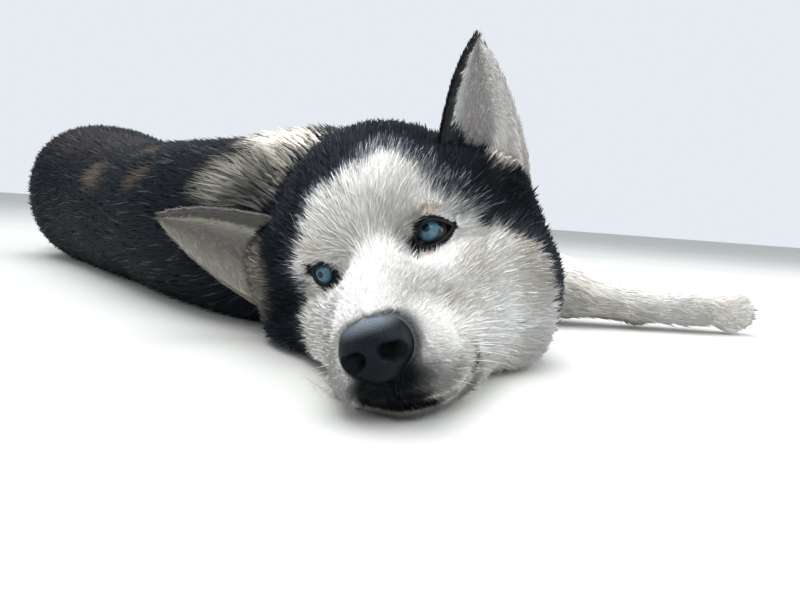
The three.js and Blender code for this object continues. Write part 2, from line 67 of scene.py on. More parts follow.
def ramp(x: Array, low: float, high: float) -> Array:
    """A smooth step from 0 at low to 1 at high, either way round."""
    t = np.clip((x - low) / (high - low), 0.0, 1.0)
    return t * t * (3.0 - 2.0 * t)


def ridge(x: Array, place: float, width: float, height: float = 1.0) -> Array:
    """A bell-shaped ridge across x."""
    return height * np.exp(-(((x - place) / width) ** 2))


def blend(a: Array, b: Array, width: float) -> Array:
    """The union of two distances with a fillet as wide as width."""
    h = np.maximum(width - np.abs(a - b), 0.0) / width
    return np.minimum(a, b) - h * h * width * 0.25


def carve(a: Array, b: Array, width: float) -> Array:
    """Distance a with b cut out of it, and a rounded edge."""
    return -blend(-a, b, width)


def ball(p: Array, centre: tuple, radii: tuple) -> Array:
    """The distance to an ellipsoid.

    Args:
        p: points.
        centre: the ellipsoid's middle.
        radii: its three radii.

    Returns:
        One distance for each point.
    """
    q = p - np.array(centre, float)
    r = np.array(radii, float)
    near = np.linalg.norm(q / r, axis=1)
    slope = np.maximum(np.linalg.norm(q / r**2, axis=1), 1e-9)
    return near * (near - 1.0) / slope


def bone(p: Array, a: tuple, b: tuple, radii: tuple, flats: tuple = (1.0, 1.0)) -> Array:
    """The distance to a round cone between two points, flattened across z by flats.

    Args:
        p: points.
        a: the first end.
        b: the second end.
        radii: the two ends' radii.
        flats: the two ends' heights across z, as shares of their radii.

    Returns:
        One distance for each point.
    """
    start = np.array(a, float)
    run = np.array(b, float) - start
    q = p - start
    t = np.clip(q @ run / (run @ run), 0.0, 1.0)
    radius = radii[0] + (radii[1] - radii[0]) * t
    flat = flats[0] + (flats[1] - flats[0]) * t
    off = q - t[:, None] * run
    near = np.sqrt(off[:, 0] ** 2 + off[:, 1] ** 2 + (off[:, 2] / flat) ** 2)
    slope = np.sqrt(off[:, 0] ** 2 + off[:, 1] ** 2 + (off[:, 2] / flat**2) ** 2)
    return np.where(slope > 1e-9, near * (near - radius) / np.maximum(slope, 1e-9), -radius * flat)


def mirrored(q: Array, middle: float = 0.0) -> Array:
    """Points of the head's frame folded onto its left side.

    Args:
        q: points of the head's frame.
        middle: where across the head the fold lies.

    Returns:
        The folded points.
    """
    m = q.copy()
    m[:, 0] = np.abs(m[:, 0] - middle)
    return m


def oval(p: Array, centre: tuple, radii: tuple) -> Array:
    """How far out points are, in shares of an ellipsoid's radii."""
    return np.linalg.norm((p - np.array(centre)) / np.array(radii), axis=1)


def nearness(distance: Array, reach: float) -> Array:
    """A weight that falls off with the distance to a region."""
    return np.exp(-np.clip(distance, -80, 200) / reach)


def averaged(d: dict[str, Array], values: dict[str, Array], reach: float = 8.0) -> Array:
    """The regions' values at each point, weighted by how near each region is.

    Args:
        d: each region's distance at the points.
        values: each region's values.
        reach: how far a region's weight reaches, in millimetres.

    Returns:
        One value for each point.
    """
    total, weight = 0.0, 0.0
    for name, distance in d.items():
        w = nearness(distance, reach)
        weight = weight + w
        total = total + w * values[name]
    return total / weight


def value_noise(p: Array, size: float, seed: int) -> Array:
    """Smooth noise from -1 to 1 with features of about size.

    Args:
        p: points.
        size: the size of its features.
        seed: which noise of that size.

    Returns:
        One value for each point.
    """
    q = p / size + seed * 17.31
    cell = np.floor(q).astype(np.int64)
    f = q - cell
    f = f * f * (3.0 - 2.0 * f)
    total = np.zeros(len(p))
    for corner in np.ndindex(2, 2, 2):
        x, y, z = (cell + np.array(corner)).T
        n = ((x * 73856093 ^ y * 19349663 ^ z * 83492791) ^ (seed * 2654435761)) & 0xFFFFFFFF
        for shift, factor in ((15, 2246822519), (13, 3266489917)):
            n = ((n ^ (n >> shift)) * factor) & 0xFFFFFFFF
        value = ((n ^ (n >> 16)) & 0xFFFF) / 32767.5 - 1.0
        share = np.where(corner, f, 1.0 - f)
        total += value * share[:, 0] * share[:, 1] * share[:, 2]
    return total


@dataclass(frozen=True)
class HeadFrame:
    """The head's own axes: u to the dog's left, f forward and w up, from midway between the pupils."""

    centre: tuple = (243.6, 290.8, 74.2)
    turn: float = 46.6
    dip: float = 3.1
    roll: float = 23.5

    def axes(self) -> Array:
        """Rows left, forward and up, in the dog's frame.

        Returns:
            Three rows of length one.
        """
        turn, dip, roll = (math.radians(x) for x in (self.turn, self.dip, self.roll))
        flat = -math.cos(dip)
        forward = np.array([flat * math.sin(turn), flat * math.cos(turn), -math.sin(dip)])
        level = unit(np.array([-forward[1], forward[0], 0.0]))
        left = level * math.cos(roll) + np.cross(forward, level) * math.sin(roll)
        return np.array([left, forward, np.cross(forward, left)])

    def inside(self, p: Array) -> Array:
        """Points of the dog's frame in the head's."""
        return (p - np.array(self.centre)) @ self.axes().T

    def outside(self, q: Array) -> Array:
        """Points of the head's frame in the dog's."""
        return np.asarray(q, float) @ self.axes() + np.array(self.centre)

    def turned(self, v: Array) -> Array:
        """Directions of the head's frame in the dog's."""
        return np.asarray(v, float) @ self.axes()


HEAD = HeadFrame()


@dataclass(frozen=True)
class Limb:
    """A leg or the tail: points [x, y, z, radius, flatness] from the root out, and where its toes point."""

    chain: tuple
    point: tuple = ()
    reach: float = 0.0
    coat: float = 0.21
    toe_radius: float = 11.5
    paw_width: float = 52.0
    claw_length: float = 15.0

    def toes(self) -> list[Array]:
        """The middle of each toe's end, one above another.

        Returns:
            One place for each toe, or none where the limb has no foot.
        """
        if not self.point:
            return []
        root = np.array(self.chain[-1][:3], float)
        point = unit(np.array(self.point, float))
        across = unit(np.array([0.0, 0.0, 1.0]) - point * point[2])
        ends = []
        for i in range(4):
            spread = (i / 3 - 0.5) * (self.paw_width - 2 * self.toe_radius)
            longest = self.reach - self.toe_radius - self.claw_length * 0.45
            reach = longest * (1.0 if i in (1, 2) else 0.82)
            ends.append(root + point * reach + across * spread)
        return ends

    def distance(self, p: Array) -> Array:
        """The distance to the limb alone.

        Args:
            p: points in the dog's frame.

        Returns:
            One distance for each point.
        """
        d = None
        for a, b in zip(self.chain, self.chain[1:]):
            piece = bone(p, a[:3], b[:3], (a[3], b[3]), (a[4], b[4]))
            d = piece if d is None else blend(d, piece, 14)
        for toe in self.toes():
            radii = (self.toe_radius * 1.15, self.toe_radius)
            d = blend(d, bone(p, self.chain[-1][:3], tuple(toe), radii), 7)
        return d

    def along(self, p: Array) -> tuple[Array, Array, Array]:
        """The limb's direction, radius and how far out it is (0 to 1), at the place nearest each point.

        Args:
            p: points in the dog's frame.

        Returns:
            One direction, radius and share for each point.
        """
        last = len(self.chain) - 1
        spans = [(np.array(a[:3], float), np.array(b[:3], float), a[3], b[3])
                 for a, b in zip(self.chain, self.chain[1:])]
        root = np.array(self.chain[-1][:3], float)
        for toe in self.toes():
            spans.append((root, toe, self.toe_radius * 1.15, self.toe_radius))
        weight = np.zeros(len(p))
        direction, radius, out = np.zeros_like(p), np.zeros(len(p)), np.zeros(len(p))
        for i, (a, b, ra, rb) in enumerate(spans):
            run = b - a
            t = np.clip((p - a) @ run / (run @ run), 0.0, 1.0)
            r = ra + (rb - ra) * t
            gap = np.linalg.norm(p - a - t[:, None] * run, axis=1) - r
            w = np.exp(-np.clip(gap, -60, 300) / 9.0)
            weight += w
            direction += w[:, None] * unit(run)
            radius += w * r
            out += w * np.minimum(i + t, last) / last
        weight = np.maximum(weight, 1e-12)
        return unit(direction), radius / weight, np.clip(out / weight, 0, 1)


LIMBS = {
    "foreleg_left": Limb(
        ((350, 470, 106, 58, 1), (425, 430, 94, 46, 1), (463, 405, 76, 38, 1), (545, 350, 38, 28, 1),
         (612, 298, 26, 19, 1), (660, 258, 26, 20, 1.15)), point=(0.78, -0.6, -0.05), reach=70),
    "foreleg_right": Limb(
        ((345, 505, 55, 58, 1), (430, 535, 40, 44, 1), (470, 538, 34, 35, 1), (560, 525, 27, 26, 1),
         (640, 512, 22, 18, 1), (690, 500, 26, 20, 1.15)), point=(0.95, -0.28, -0.03), reach=60),
    "hindleg_left": Limb(
        ((300, 1000, 112, 84, 0.9), (400, 924, 131, 64, 0.58), (445, 896, 120, 48, 0.72),
         (515, 950, 88, 34, 0.9), (585, 1005, 48, 24, 1), (640, 1012, 34, 18, 1),
         (697, 1002, 26, 20, 1.15)), point=(0.94, -0.34, -0.04), reach=60),
    "hindleg_right": Limb(
        ((305, 1010, 62, 76, 0.8), (395, 982, 35, 56, 0.59), (435, 982, 34, 44, 0.74),
         (500, 1030, 32, 34, 0.9), (560, 1090, 25, 24, 1), (620, 1106, 22, 18, 1),
         (677, 1104, 26, 20, 1.15)), point=(0.95, -0.3, -0.03), reach=60),
    "tail": Limb(
        ((285, 1110, 86, 44, 1), (292, 1190, 60, 44, 1), (330, 1270, 46, 45, 1), (390, 1345, 38, 38, 1),
         (440, 1392, 22, 18, 1)), coat=0.6),
}
NECK_ENDS = (tuple(HEAD.outside((0, -118, -4))), (328, 470, 80))


@dataclass(frozen=True)
class Form:
    """The whole outline, out to the tips of the coat, in millimetres."""

    skull_half_width: float = 66.0
    muzzle_reach: float = 112.0
    pupil_spacing: float = 74.0
    eye_radius: float = 11.0
    eye_rise: tuple = (1.0, 4.0)
    section_power: float = 2.3
    lid_coat: float = 0.9
    neck_coat: float = 18.0
    trunk_coat: float = 12.0
    tail_coat: float = 27.0
    sections: tuple = (
        (400, 320, 78, 60, 56), (430, 322, 80, 95, 78), (480, 322, 77, 122, 88), (560, 322, 76, 130, 94),
        (640, 322, 77, 130, 95), (720, 318, 79, 122, 95), (800, 305, 80, 108, 94), (880, 300, 84, 102, 97),
        (960, 300, 94, 106, 105), (1030, 300, 100, 112, 109), (1090, 302, 96, 104, 98),
        (1140, 304, 88, 74, 70),
    )

    def eye(self, side: int) -> Array:
        """An eyeball's centre in the head's frame."""
        out = self.pupil_spacing / 2 - 1.5
        return np.array([side * out, 1.0 - self.eye_radius, self.eye_rise[side > 0]])

    def head(self, p: Array) -> Array:
        """The distance to the head, its twin features mirrored.

        Args:
            p: points in the dog's frame.

        Returns:
            One distance for each point.
        """
        q = HEAD.inside(p)
        m = mirrored(q)
        tip, half = self.muzzle_reach, self.pupil_spacing / 2
        # Skull, forehead, temples and brows.
        d = ball(q, (0, -54, 18), (self.skull_half_width, 66, 60))
        d = blend(d, ball(q, (0, -30, 20), (46, 42, 36)), 16)
        d = blend(d, ball(m, (50, -46, 12), (32, 36, 34)), 26)
        d = blend(d, ball(m, (27, -9, 12), (22, 15, 11)), 12)
        # Muzzle, its bridge and the upper lips, of which the right one is pressed in by the floor.
        d = blend(d, bone(q, (0, -6, -24), (0, tip - 24, -35), (32, 24)), 20)
        d = blend(d, bone(q, (0, 2, -6), (0, tip - 14, -24), (15, 11)), 12)
        d = blend(d, ball(q, (17, tip - 34, -46), (19, 29, 20)), 10)
        d = blend(d, ball(q, (-14.5, tip - 34, -46), (17, 29, 20)), 10)
        # Lower jaw, cheeks and the loose corner of the mouth.
        d = blend(d, bone(q, (0, -20, -62), (0, tip - 32, -66), (32, 17)), 12)
        d = blend(d, bone(m, (20, tip - 60, -56), (44, -46, -66), (22, 38)), 14)
        d = blend(d, bone(m, (20, 22, -34), (56, -44, -34), (22, 36)), 20)
        d = blend(d, bone(q, (11, 67, -65), (24, 20, -66), (20, 27)), 8)
        # Ruff, throat and crown.
        d = blend(d, ball(m, (68, -68, -44), (47, 44, 58)), 24)
        d = blend(d, ball(m, (70, -80, 10), (42, 42, 42)), 24)
        d = blend(d, ball(m, (48, -62, -78), (46, 52, 40)), 20)
        d = blend(d, ball(q, (0, -66, -64), (56, 66, 44)), 24)
        d = blend(d, ball(q, (0, -74, 41), (62, 50, 51)), 22)
        # The lower cheek rounds under and clears the floor.
        d = carve(d, bone(q, (-48, 46, -66), (-84, -10, -62), (18, 20)), 6)
        d = carve(d, bone(q, (-84, -10, -62), (-120, -52, -54), (20, 23)), 6)
        # Eye sockets, with the lids' bulge.
        d = carve(d, ball(m, (half + 2, 17, 2), (21, 17, 11)), 8)
        return blend(d, ball(m, (half - 1.5, 1 - self.eye_radius, 2.5), (12.5, 12.5, 12.5)), 3)

    def nose(self, q: Array) -> Array:
        """The distance to the nose's bare pad, without its nostrils, from points of the head's frame.

        Args:
            q: points of the head's frame.

        Returns:
            One distance for each point.
        """
        d = ball(q, (0, 98.0, -29), (15.6, 16.2, 13.8))
        d = blend(d, ball(mirrored(q), (8.6, 103, -34), (9.4, 10.6, 10.0)), 7)
        return blend(d, ball(q, (0, 104, -41.5), (8.5, 8.3, 7.5)), 7)

    def trunk(self, p: Array) -> Array:
        """The distance to the trunk: rounded sections joined by smooth curves along y.

        Args:
            p: points in the dog's frame.

        Returns:
            One distance for each point.
        """
        rows = np.array(self.sections, float)
        y = np.clip(p[:, 1], rows[0, 0], rows[-1, 0])
        i = np.clip(np.searchsorted(rows[:, 0], y, side="right") - 1, 0, len(rows) - 2)
        slope = np.zeros((len(rows), 4))
        slope[1:-1] = (rows[2:, 1:] - rows[:-2, 1:]) / (rows[2:, :1] - rows[:-2, :1])
        span = (rows[i + 1, 0] - rows[i, 0])[:, None]
        t = ((y - rows[i, 0])[:, None]) / span
        at = (2 * t**3 - 3 * t**2 + 1) * rows[i, 1:] + (-2 * t**3 + 3 * t**2) * rows[i + 1, 1:]
        at = at + (t**3 - 2 * t**2 + t) * slope[i] * span + (t**3 - t**2) * slope[i + 1] * span
        x, z = np.abs(p[:, 0] - at[:, 0]) / at[:, 2], np.abs(p[:, 2] - at[:, 1]) / at[:, 3]
        level = (x**self.section_power + z**self.section_power) ** (1 / self.section_power)
        across = (level - 1) * np.minimum(at[:, 2], at[:, 3])
        over = np.maximum(rows[0, 0] - p[:, 1], p[:, 1] - rows[-1, 0])
        return np.where((across > 0) & (over > 0), np.hypot(across, over), np.maximum(across, over))

    def neck(self, p: Array) -> Array:
        """The distance to the neck."""
        return bone(p, *NECK_ENDS, (90, 92))

    def regions(self, p: Array) -> dict[str, Array]:
        """The distance to each region on its own."""
        found = {"head": self.head(p), "neck": self.neck(p), "trunk": self.trunk(p)}
        return found | {name: limb.distance(p) for name, limb in LIMBS.items()}

    def outline(self, d: dict[str, Array]) -> Array:
        """The whole outline without the floor: no limb blends with another.

        Args:
            d: each region's distance at the points.

        Returns:
            One distance for each point.
        """
        body = blend(blend(d["trunk"], d["neck"], 40), d["head"], 26)
        total = body
        for name in LIMBS:
            total = np.minimum(total, blend(body, d[name], 24 if name == "tail" else 30))
        return total

    def head_depth(self, p: Array) -> Array:
        """The coat's depth on the head: least at the nose and lids, most on the cheeks and crown.

        Args:
            p: points in the dog's frame.

        Returns:
            One depth for each point.
        """
        q = HEAD.inside(p)
        forward = (-110, -80, -50, -15, 20, 60, 95, 112)
        depth = np.interp(q[:, 1], forward, (15, 12, 8.5, 4.6, 2.9, 2.1, 1.4, 1.0))
        from_eye = np.linalg.norm(mirrored(q) - self.eye(1), axis=1)
        return self.lid_coat + (depth - self.lid_coat) * ramp(from_eye, 12.0, 36.0)

    def depth(self, p: Array, d: dict[str, Array]) -> Array:
        """The coat's depth: the skin lies that far inside the outline.

        Args:
            p: points in the dog's frame.
            d: each region's distance at the points.

        Returns:
            One depth for each point.
        """
        here = {"head": self.head_depth(p), "neck": self.neck_coat, "trunk": self.trunk_coat}
        for name, limb in LIMBS.items():
            most = self.tail_coat if name == "tail" else self.trunk_coat
            here[name] = np.minimum(limb.coat * limb.along(p)[1], most)
        return averaged(d, here)

    def skin(self, p: Array, floor: float = 2.0) -> Array:
        """The distance to the skin, which stands on the floor."""
        d = self.regions(p)
        return np.maximum(self.outline(d) + self.depth(p, d), floor - p[:, 2])

    def flow(self, p: Array, d: dict[str, Array]) -> Array:
        """The way the hair lies, not yet laid along the surface.

        Args:
            p: points in the dog's frame.
            d: each region's distance at the points.

        Returns:
            One direction for each point.
        """
        q = HEAD.inside(p)
        away = q - np.array([0.0, 100.0, -30.0])
        over = unit(away) + np.array([0.0, -0.55, 0.0])
        from_eye = mirrored(q) - self.eye(1)
        pull = 1.1 * (1 - ramp(np.linalg.norm(from_eye, axis=1), 12.0, 30.0))
        from_eye[:, 0] *= np.sign(q[:, 0])
        over = unit(over + pull[:, None] * unit(from_eye * np.array([1.0, 0.2, 1.0])))
        ways = {
            "head": HEAD.turned(over),
            "neck": unit(np.array([0.25, 1.0, -0.12])) + 0 * p,
            "trunk": unit(np.array([0.10, 1.0, -0.05])) + 0 * p,
        }
        total = np.zeros_like(p)
        for name, distance in d.items():
            way = ways[name] if name in ways else LIMBS[name].along(p)[0]
            total += nearness(distance, 12.0)[:, None] * way
        return unit(total)


FORM = Form()


def placed() -> Array:
    """The step from the dog's frame to the row's, in millimetres, read off the left eye's solid.

    Returns:
        The step along x, y and z.
    """
    low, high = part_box("eye_left")
    middle = np.array((low + high) / 2) / MM
    return middle - HEAD.outside(FORM.eye(1))


SHIFT = placed()


def to_row(p: Array) -> Array:
    """Points of the dog's frame, in millimetres, in the row's, in metres."""
    return (np.asarray(p, float) + SHIFT) * MM


# Materials


class Sock:
    """A node socket that adds Math nodes when it is used in an expression."""

    def __init__(self, graph: "Graph", socket: bpy.types.NodeSocket) -> None:
        """Wraps one output socket of a graph."""
        self.graph, self.socket = graph, socket

    def _math(self, operation: str, *values: "float | Sock") -> "Sock":
        """One Math node."""
        return self.graph.node("ShaderNodeMath", {"operation": operation}, dict(enumerate(values)))

    def __add__(self, other: "float | Sock") -> "Sock":
        """self + other."""
        return self._math("ADD", self, other)

    def __rsub__(self, other: "float | Sock") -> "Sock":
        """other - self."""
        return self._math("SUBTRACT", other, self)

    def __mul__(self, other: "float | Sock") -> "Sock":
        """self * other."""
        return self._math("MULTIPLY", self, other)

    __radd__ = __add__
    __rmul__ = __mul__

    def between(self, low: float, high: float) -> "Sock":
        """A smooth step from 0 at low to 1 at high.

        Args:
            low: where the step starts.
            high: where it ends.

        Returns:
            The step.
        """
        return self.graph.node(
            "ShaderNodeMapRange",
            {"interpolation_type": "SMOOTHSTEP"},
            {"Value": self, "From Min": low, "From Max": high},
        )


class Graph:
    """One material's nodes round its Principled shader."""

    def __init__(self, name: str) -> None:
        """Makes a material with a bare Principled shader.

        Args:
            name: the material's name.
        """
        self.material = bpy.data.materials.new(name)
        self.material.use_nodes = True
        self.tree = self.material.node_tree
        self.shader = self.tree.nodes["Principled BSDF"]

    def node(self, kind: str, settings: dict | None = None, values: dict | None = None,
             output: int | str = 0) -> Sock:
        """Adds a node.

        Args:
            kind: its Blender type.
            settings: properties, set first; a ramp's stops are under "stops".
            values: a number, colour or Sock for each input, by name or index.
            output: the output that is wanted.

        Returns:
            The wanted output.
        """
        made = self.tree.nodes.new(kind)
        for name, value in (settings or {}).items():
            if name == "stops":
                self._stops(made.color_ramp, value)
            else:
                setattr(made, name, value)
        for name, value in (values or {}).items():
            self._feed(made.inputs[name], value)
        return Sock(self, made.outputs[output])

    def _stops(self, band: bpy.types.ColorRamp, stops: tuple) -> None:
        """Sets a colour ramp's two stops, each (place, colour).

        Args:
            band: the ramp.
            stops: its stops, in order.
        """
        for element, (place, colour) in zip(band.elements, stops):
            element.position = place
            element.color = (*colour, 1.0)

    def _feed(self, socket: bpy.types.NodeSocket, value: "float | tuple | Sock") -> None:
        """Links or sets one input.

        Args:
            socket: the input.
            value: another node's output, or the value to set.
        """
        if isinstance(value, Sock):
            self.tree.links.new(value.socket, socket)
        elif isinstance(value, tuple) and len(value) == 3 and socket.type == "RGBA":
            socket.default_value = (*value, 1.0)
        else:
            socket.default_value = value

    def set(self, **values: "float | tuple | Sock") -> None:
        """Sets or links the shader's inputs; an underscore stands for a space in a name."""
        for name, value in values.items():
            self._feed(self.shader.inputs[name.replace("_", " ")], value)

    def place(self) -> Sock:
        """Object coordinates."""
        return self.node("ShaderNodeTexCoord", output="Object")

    def attribute(self, name: str, output: str = "Color") -> Sock:
        """A mesh attribute."""
        return self.node("ShaderNodeAttribute", {"attribute_name": name}, output=output)

    def noise(self, scale: float, detail: float = 3.0, where: Sock | None = None) -> Sock:
        """Noise on a place, Object coordinates unless where is given."""
        values = {"Vector": where or self.place(), "Scale": scale, "Detail": detail}
        return self.node("ShaderNodeTexNoise", {}, values, "Fac")

    def mix(self, factor: "float | Sock", a: "tuple | Sock", b: "tuple | Sock", kind: str = "MIX") -> Sock:
        """Two colours mixed.

        Args:
            factor: how much of the second shows.
            a: the first colour.
            b: the second colour.
            kind: the way of mixing.

        Returns:
            The mixed colour.
        """
        made = self.tree.nodes.new("ShaderNodeMix")
        made.data_type, made.blend_type = "RGBA", kind
        self._feed(made.inputs[0], factor)
        self._feed(made.inputs[6], a)
        self._feed(made.inputs[7], b)
        return Sock(self, made.outputs[2])

    def toned(self, colour: Sock, pattern: Sock, *greys: tuple[float, float]) -> Sock:
        """A colour times the grey that a pattern gives; each grey is (place, level).

        Args:
            colour: the colour.
            pattern: the pattern, from 0 to 1.
            *greys: the two greys.

        Returns:
            The toned colour.
        """
        stops = tuple((place, (level, level, level)) for place, level in greys)
        grey = self.node("ShaderNodeValToRGB", {"stops": stops}, {0: pattern})
        return self.mix(1.0, colour, grey, "MULTIPLY")

    def scaled(self, vector: Sock, by: tuple) -> Sock:
        """A vector scaled along each axis."""
        return self.node("ShaderNodeVectorMath", {"operation": "MULTIPLY"}, {0: vector, 1: by})

    def bump(self, height: Sock, distance: float, strength: float = 1.0) -> None:
        """Feeds the shader's normal from a height; distance is in metres."""
        values = {"Height": height, "Distance": distance, "Strength": strength}
        self.set(Normal=self.node("ShaderNodeBump", {}, values))


@dataclass(frozen=True)
class CoatFinish:
    """Hair: its colour comes from the tufts' own attribute, with a fine streak along them."""

    name: str = "coat"
    roughness: float = 0.55

    def make(self) -> bpy.types.Material:
        """Builds the material.

        Returns:
            The material.
        """
        g = Graph(self.name)
        colour = g.toned(g.attribute("tint"), g.noise(900.0, 2.0), (0.3, 0.91), (0.7, 1.05))
        g.set(Base_Color=colour, Roughness=self.roughness, Specular_IOR_Level=0.045)
        return g.material


@dataclass(frozen=True)
class SkinFinish:
    """Skin under the coat, with the coat's markings and the grain of short flat hair."""

    name: str = "skin"

    def make(self) -> bpy.types.Material:
        """Builds the material.

        Returns:
            The material.
        """
        g = Graph(self.name)
        grain = g.noise(420.0, 4.0)
        colour = g.toned(g.attribute("tint"), grain, (0.35, 0.84), (0.65, 1.0))
        g.set(Base_Color=colour, Roughness=0.75, Specular_IOR_Level=0.14)
        g.bump(grain, 0.0006, 0.6)
        return g.material


@dataclass(frozen=True)
class LeatherFinish:
    """Bare pebbled skin of the nose, lips and pads, a little moist where it is glossy, with an optional
    painted sheen where the 'high' attribute rises.
    """

    name: str
    dark: Colour
    pale: Colour
    roughness: float
    pebble: float
    depth: float
    gloss: float = 0.25
    shine: float = 0.25
    painted_sheen: Colour | None = None

    def make(self) -> bpy.types.Material:
        """Builds the material.

        Returns:
            The material.
        """
        g = Graph(self.name)
        where = {"Vector": g.place(), "Scale": self.pebble}
        cells = g.node("ShaderNodeTexVoronoi", {"feature": "DISTANCE_TO_EDGE"}, where)
        soft = g.noise(self.pebble * 0.12, 3.0)
        raised = cells.between(0.0, 0.35)
        colour = g.mix(soft.between(0.35, 0.7), self.dark, self.pale)
        # Painted sheen: a paler colour laid where the 'high' attribute rises.
        if self.painted_sheen:
            colour = g.mix(g.attribute("high", "Fac"), colour, self.painted_sheen)
        g.set(
            Base_Color=colour,
            Roughness=raised * -0.12 + (self.roughness + 0.1),
            Coat_Weight=self.gloss, Coat_Roughness=0.3, Specular_IOR_Level=self.shine,
        )
        g.bump(raised + soft * 0.6, self.depth, 0.8)
        return g.material


@dataclass(frozen=True)
class EyeFinish:
    """A wet eye: white, dark ring, streaked blue iris and deep pupil, by the distance from its axis."""

    name: str = "eye"
    pupil: float = 2.3
    iris: float = 7.7
    limbus: float = 9.1

    def make(self) -> bpy.types.Material:
        """Builds the material.

        Returns:
            The material.
        """
        g = Graph(self.name)
        off, turn = g.attribute("off", "Fac"), g.attribute("turn", "Vector")
        rays = g.noise(9.0, 4.0, g.scaled(turn, (1.0, 1.0, 0.25)))
        cloud = g.noise(2.2, 2.0, turn)
        blue = g.mix(rays.between(0.3, 0.7), (0.030, 0.085, 0.120), (0.105, 0.215, 0.265))
        blue = g.mix(cloud.between(0.35, 0.75) * 0.45, blue, (0.06, 0.15, 0.20))
        ring = (off + rays * 1.2).between(self.iris - 1.1, self.iris + 1.2)
        blue = g.mix(ring, blue, (0.008, 0.02, 0.035))
        pupil = 1 - (off + rays * 0.5).between(self.pupil - 0.1, self.pupil + 0.9)
        blue = g.mix(pupil, blue, (0.003, 0.014, 0.024))
        white = g.mix(off.between(self.limbus, self.limbus + 2.6), (0.03, 0.025, 0.03), (0.11, 0.09, 0.09))
        g.set(
            Base_Color=g.mix(off.between(self.limbus - 0.5, self.limbus + 0.3), blue, white),
            Roughness=0.12, Specular_IOR_Level=0.16,
            Coat_Weight=0.45, Coat_Roughness=0.03, Coat_IOR=1.38,
        )
        return g.material


@dataclass(frozen=True)
class HornFinish:
    """Claws: streaked horn, paler at the tip."""

    name: str = "claw"

    def make(self) -> bpy.types.Material:
        """Builds the material.

        Returns:
            The material.
        """
        g = Graph(self.name)
        streaks = g.noise(260.0, 4.0, g.scaled(g.place(), (0.25, 1.0, 1.0)))
        colour = g.mix(streaks.between(0.3, 0.7), (0.055, 0.045, 0.042), (0.20, 0.165, 0.14))
        g.set(Base_Color=colour, Roughness=0.34, Coat_Weight=0.2, Coat_Roughness=0.2)
        g.bump(streaks, 0.00025, 0.5)
        return g.material


@dataclass(frozen=True)
class HairFinish:
    """Whiskers: a plain hair colour that varies a little along it."""

    name: str
    dark: Colour
    pale: Colour

    def make(self) -> bpy.types.Material:
        """Builds the material.

        Returns:
            The material.
        """
        g = Graph(self.name)
        share = g.noise(60.0, 2.0).between(0.35, 0.65)
        g.set(Base_Color=g.mix(share, self.dark, self.pale), Roughness=0.35)
        return g.material


@dataclass(frozen=True)
class FloorFinish:
    """The plain pale floor."""

    name: str = "floor"

    def make(self) -> bpy.types.Material:
        """Builds the material.

        Returns:
            The material.
        """
        g = Graph(self.name)
        share = g.noise(3.0, 4.0).between(0.3, 0.7)
        g.set(Base_Color=g.mix(share, (0.50, 0.50, 0.48), (0.53, 0.53, 0.51)), Roughness=0.8)
        g.bump(g.noise(240.0, 2.0), 0.0004, 0.2)
        return g.material


# Meshes and the face's openings


def linked(name: str, data: bpy.types.ID) -> bpy.types.Object:
    """A new object in the scene.

    Args:
        name: the object's name.
        data: its mesh, camera or lamp.

    Returns:
        The object.
    """
    made = bpy.data.objects.new(name, data)
    bpy.context.scene.collection.objects.link(made)
    return made


def new_piece(
        name: str, points: Array, faces: list | Array, finish: bpy.types.Material) -> bpy.types.Object:
    """A smooth-shaded mesh object in the row's frame from points in the dog's.

    Args:
        name: the piece's name.
        points: its vertices, in millimetres.
        faces: vertex indices; an array if all faces have as many corners.
        finish: its material.

    Returns:
        The linked object.
    """
    me = bpy.data.meshes.new(name)
    if isinstance(faces, np.ndarray):
        sides = faces.shape[1]
        me.vertices.add(len(points))
        me.vertices.foreach_set("co", to_row(points).astype(np.float32).ravel())
        me.loops.add(faces.size)
        me.loops.foreach_set("vertex_index", faces.astype(np.int32).ravel())
        me.polygons.add(len(faces))
        me.polygons.foreach_set("loop_start", np.arange(0, faces.size, sides, dtype=np.int32))
        me.update(calc_edges=True)
    else:
        me.from_pydata(to_row(points).tolist(), [], faces)
    me.polygons.foreach_set("use_smooth", np.full(len(me.polygons), True))
    me.materials.append(finish)
    me.validate()
    return linked(name, me)


def outward(piece: bpy.types.Object) -> bpy.types.Object:
    """Turns a closed mesh's faces outwards.

    Args:
        piece: the closed mesh.

    Returns:
        The same piece.
    """
    bm = bmesh.new()
    bm.from_mesh(piece.data)
    bmesh.ops.recalc_face_normals(bm, faces=bm.faces)
    bm.to_mesh(piece.data)
    bm.free()
    return piece


def paint(me: bpy.types.Mesh, name: str, values: Array, kind: str = "FLOAT_COLOR",
          domain: str = "POINT") -> None:
    """Stores values as an attribute of a mesh.

    Args:
        me: the mesh.
        name: the attribute's name.
        values: the values, in order.
        kind: their data type.
        domain: what each belongs to, such as a point.
    """
    layer = me.attributes.new(name, kind, domain)
    if kind == "FLOAT_COLOR":
        rgba = np.ones((len(values), 4), np.float32)
        rgba[:, :3] = values
        layer.data.foreach_set("color", rgba.ravel())
    elif kind == "FLOAT_VECTOR":
        layer.data.foreach_set("vector", values.astype(np.float32).ravel())
    else:
        layer.data.foreach_set("value", values.astype(np.float32))


def seat(piece: bpy.types.Object, slot: str, *nodes: str) -> bpy.types.Object:
    """Rides a piece on the body and hides the solids that it stands for.

    Args:
        piece: the piece.
        slot: the slot's name; not used.
        *nodes: the solids' names.

    Returns:
        The same piece.
    """
    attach(piece, BODY)
    if nodes:
        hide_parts(*nodes)
    LOG.info("%s: %d faces", piece.name, len(piece.data.polygons))
    return piece


